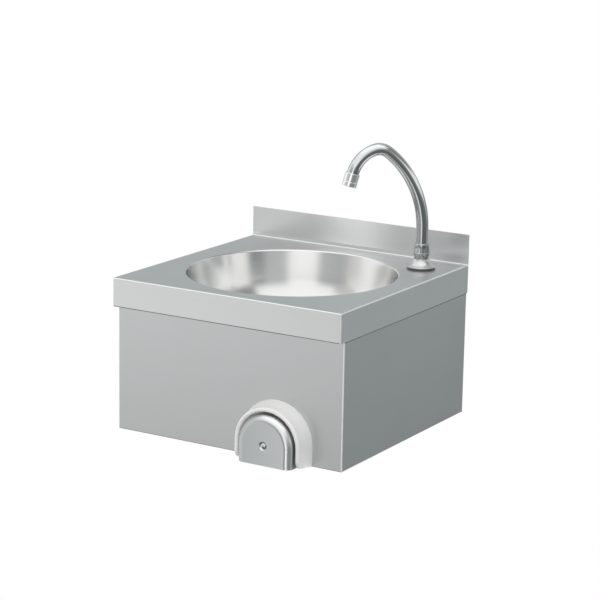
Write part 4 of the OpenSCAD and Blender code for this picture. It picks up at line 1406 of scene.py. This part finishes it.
def softbox(shader, direction, base, azimuth, elevation, half_width, half_height, feather, level):
    """Paints one panel over what is there."""
    turn = math.radians(azimuth)
    sine, cosine = math.sin(turn), math.cos(turn)

    def along(axis):
        return shader.vector("DOT_PRODUCT", direction, axis, out="Value")

    ahead, side, up = along((sine, -cosine, 0)), along((cosine, sine, 0)), along((0, 0, 1))
    off_azimuth = abs(shader.math("ARCTAN2", side, ahead))
    off_elevation = abs(shader.math("ARCSINE", up) - math.radians(elevation))
    soft = math.radians(feather) / 2

    def within(angle, half):
        half = math.radians(half)
        return shader.ease(angle, half - soft, half + soft, 1.0, 0.0)

    cover = within(off_azimuth, half_width) * within(off_elevation, half_height)
    return shader.mix(cover, base, level)


def studio_world():
    world = bpy.data.worlds.new("studio")
    scene.world = world
    world.use_nodes = True
    shader = Shader(world.node_tree)
    direction = shader.node("ShaderNodeTexCoord", out="Generated")
    # base grey; raise the factor to take it towards black
    studio = shader.mix(0.0, (0.60, 0.605, 0.605), (0, 0, 0))
    for panel in PANELS:
        studio = softbox(shader, direction, studio, *panel)
    light = shader.node("ShaderNodeBackground", Color=studio, Strength=1.0)
    white = shader.node("ShaderNodeBackground", Color=(1, 1, 1), Strength=1.0)
    to_camera = shader.node("ShaderNodeLightPath", out="Is Camera Ray")
    mixed = shader.node("ShaderNodeMixShader", to_camera, light, white)
    shader.output("ShaderNodeOutputWorld", mixed)


def white_floor():
    """Floor well below the hanging sink, clear from beneath and left out of the reflections."""
    half, z = 8, -0.75
    corners = [(-half, -half, z), (half, -half, z), (half, half, z), (-half, half, z)]
    mesh = bpy.data.meshes.new("floor")
    mesh.from_pydata(corners, [], [(0, 1, 2, 3)])
    floor = bpy.data.objects.new("floor", mesh)
    scene.collection.objects.link(floor)
    shader = new_material("floor")
    white = shader.node("ShaderNodeEmission", Color=(1, 1, 1), Strength=1.0)
    clear = shader.node("ShaderNodeBsdfTransparent")
    beneath = shader.node("ShaderNodeNewGeometry", out="Backfacing")
    mixed = shader.node("ShaderNodeMixShader", beneath, white, clear)
    shader.output("ShaderNodeOutputMaterial", mixed)
    mesh.materials.append(MATS["floor"])
    floor.visible_glossy = False
    floor.visible_diffuse = False
    floor.visible_shadow = False


def place_camera():
    """Camera in front of the sink, to its right and above."""
    data = bpy.data.cameras.new("camera")
    data.sensor_width = 36.0
    data.lens = 132.156
    data.clip_start, data.clip_end = 0.05, 60
    camera = bpy.data.objects.new("camera", data)
    scene.collection.objects.link(camera)
    position = (1.715, -3.033, 0.983)
    azimuth, elevation, roll = math.radians(31.0), math.radians(13.39), math.radians(1.05)
    level = math.cos(elevation)
    back = np.array(
        [math.sin(azimuth) * level, -math.cos(azimuth) * level, math.sin(elevation)]
    )
    right = np.array([math.cos(azimuth), math.sin(azimuth), 0.0])
    up = np.cross(back, right)
    x_axis = math.cos(roll) * right + math.sin(roll) * up
    y_axis = -math.sin(roll) * right + math.cos(roll) * up
    rows = list(zip(x_axis, y_axis, back, position))
    camera.matrix_world = Matrix(rows + [(0, 0, 0, 1)])
    scene.camera = camera


scene = bpy.context.scene
scene.view_settings.view_transform = "Standard"
scene.view_settings.look = "None"
studio_world()
white_floor()
place_camera()

bpy.context.view_layer.update()
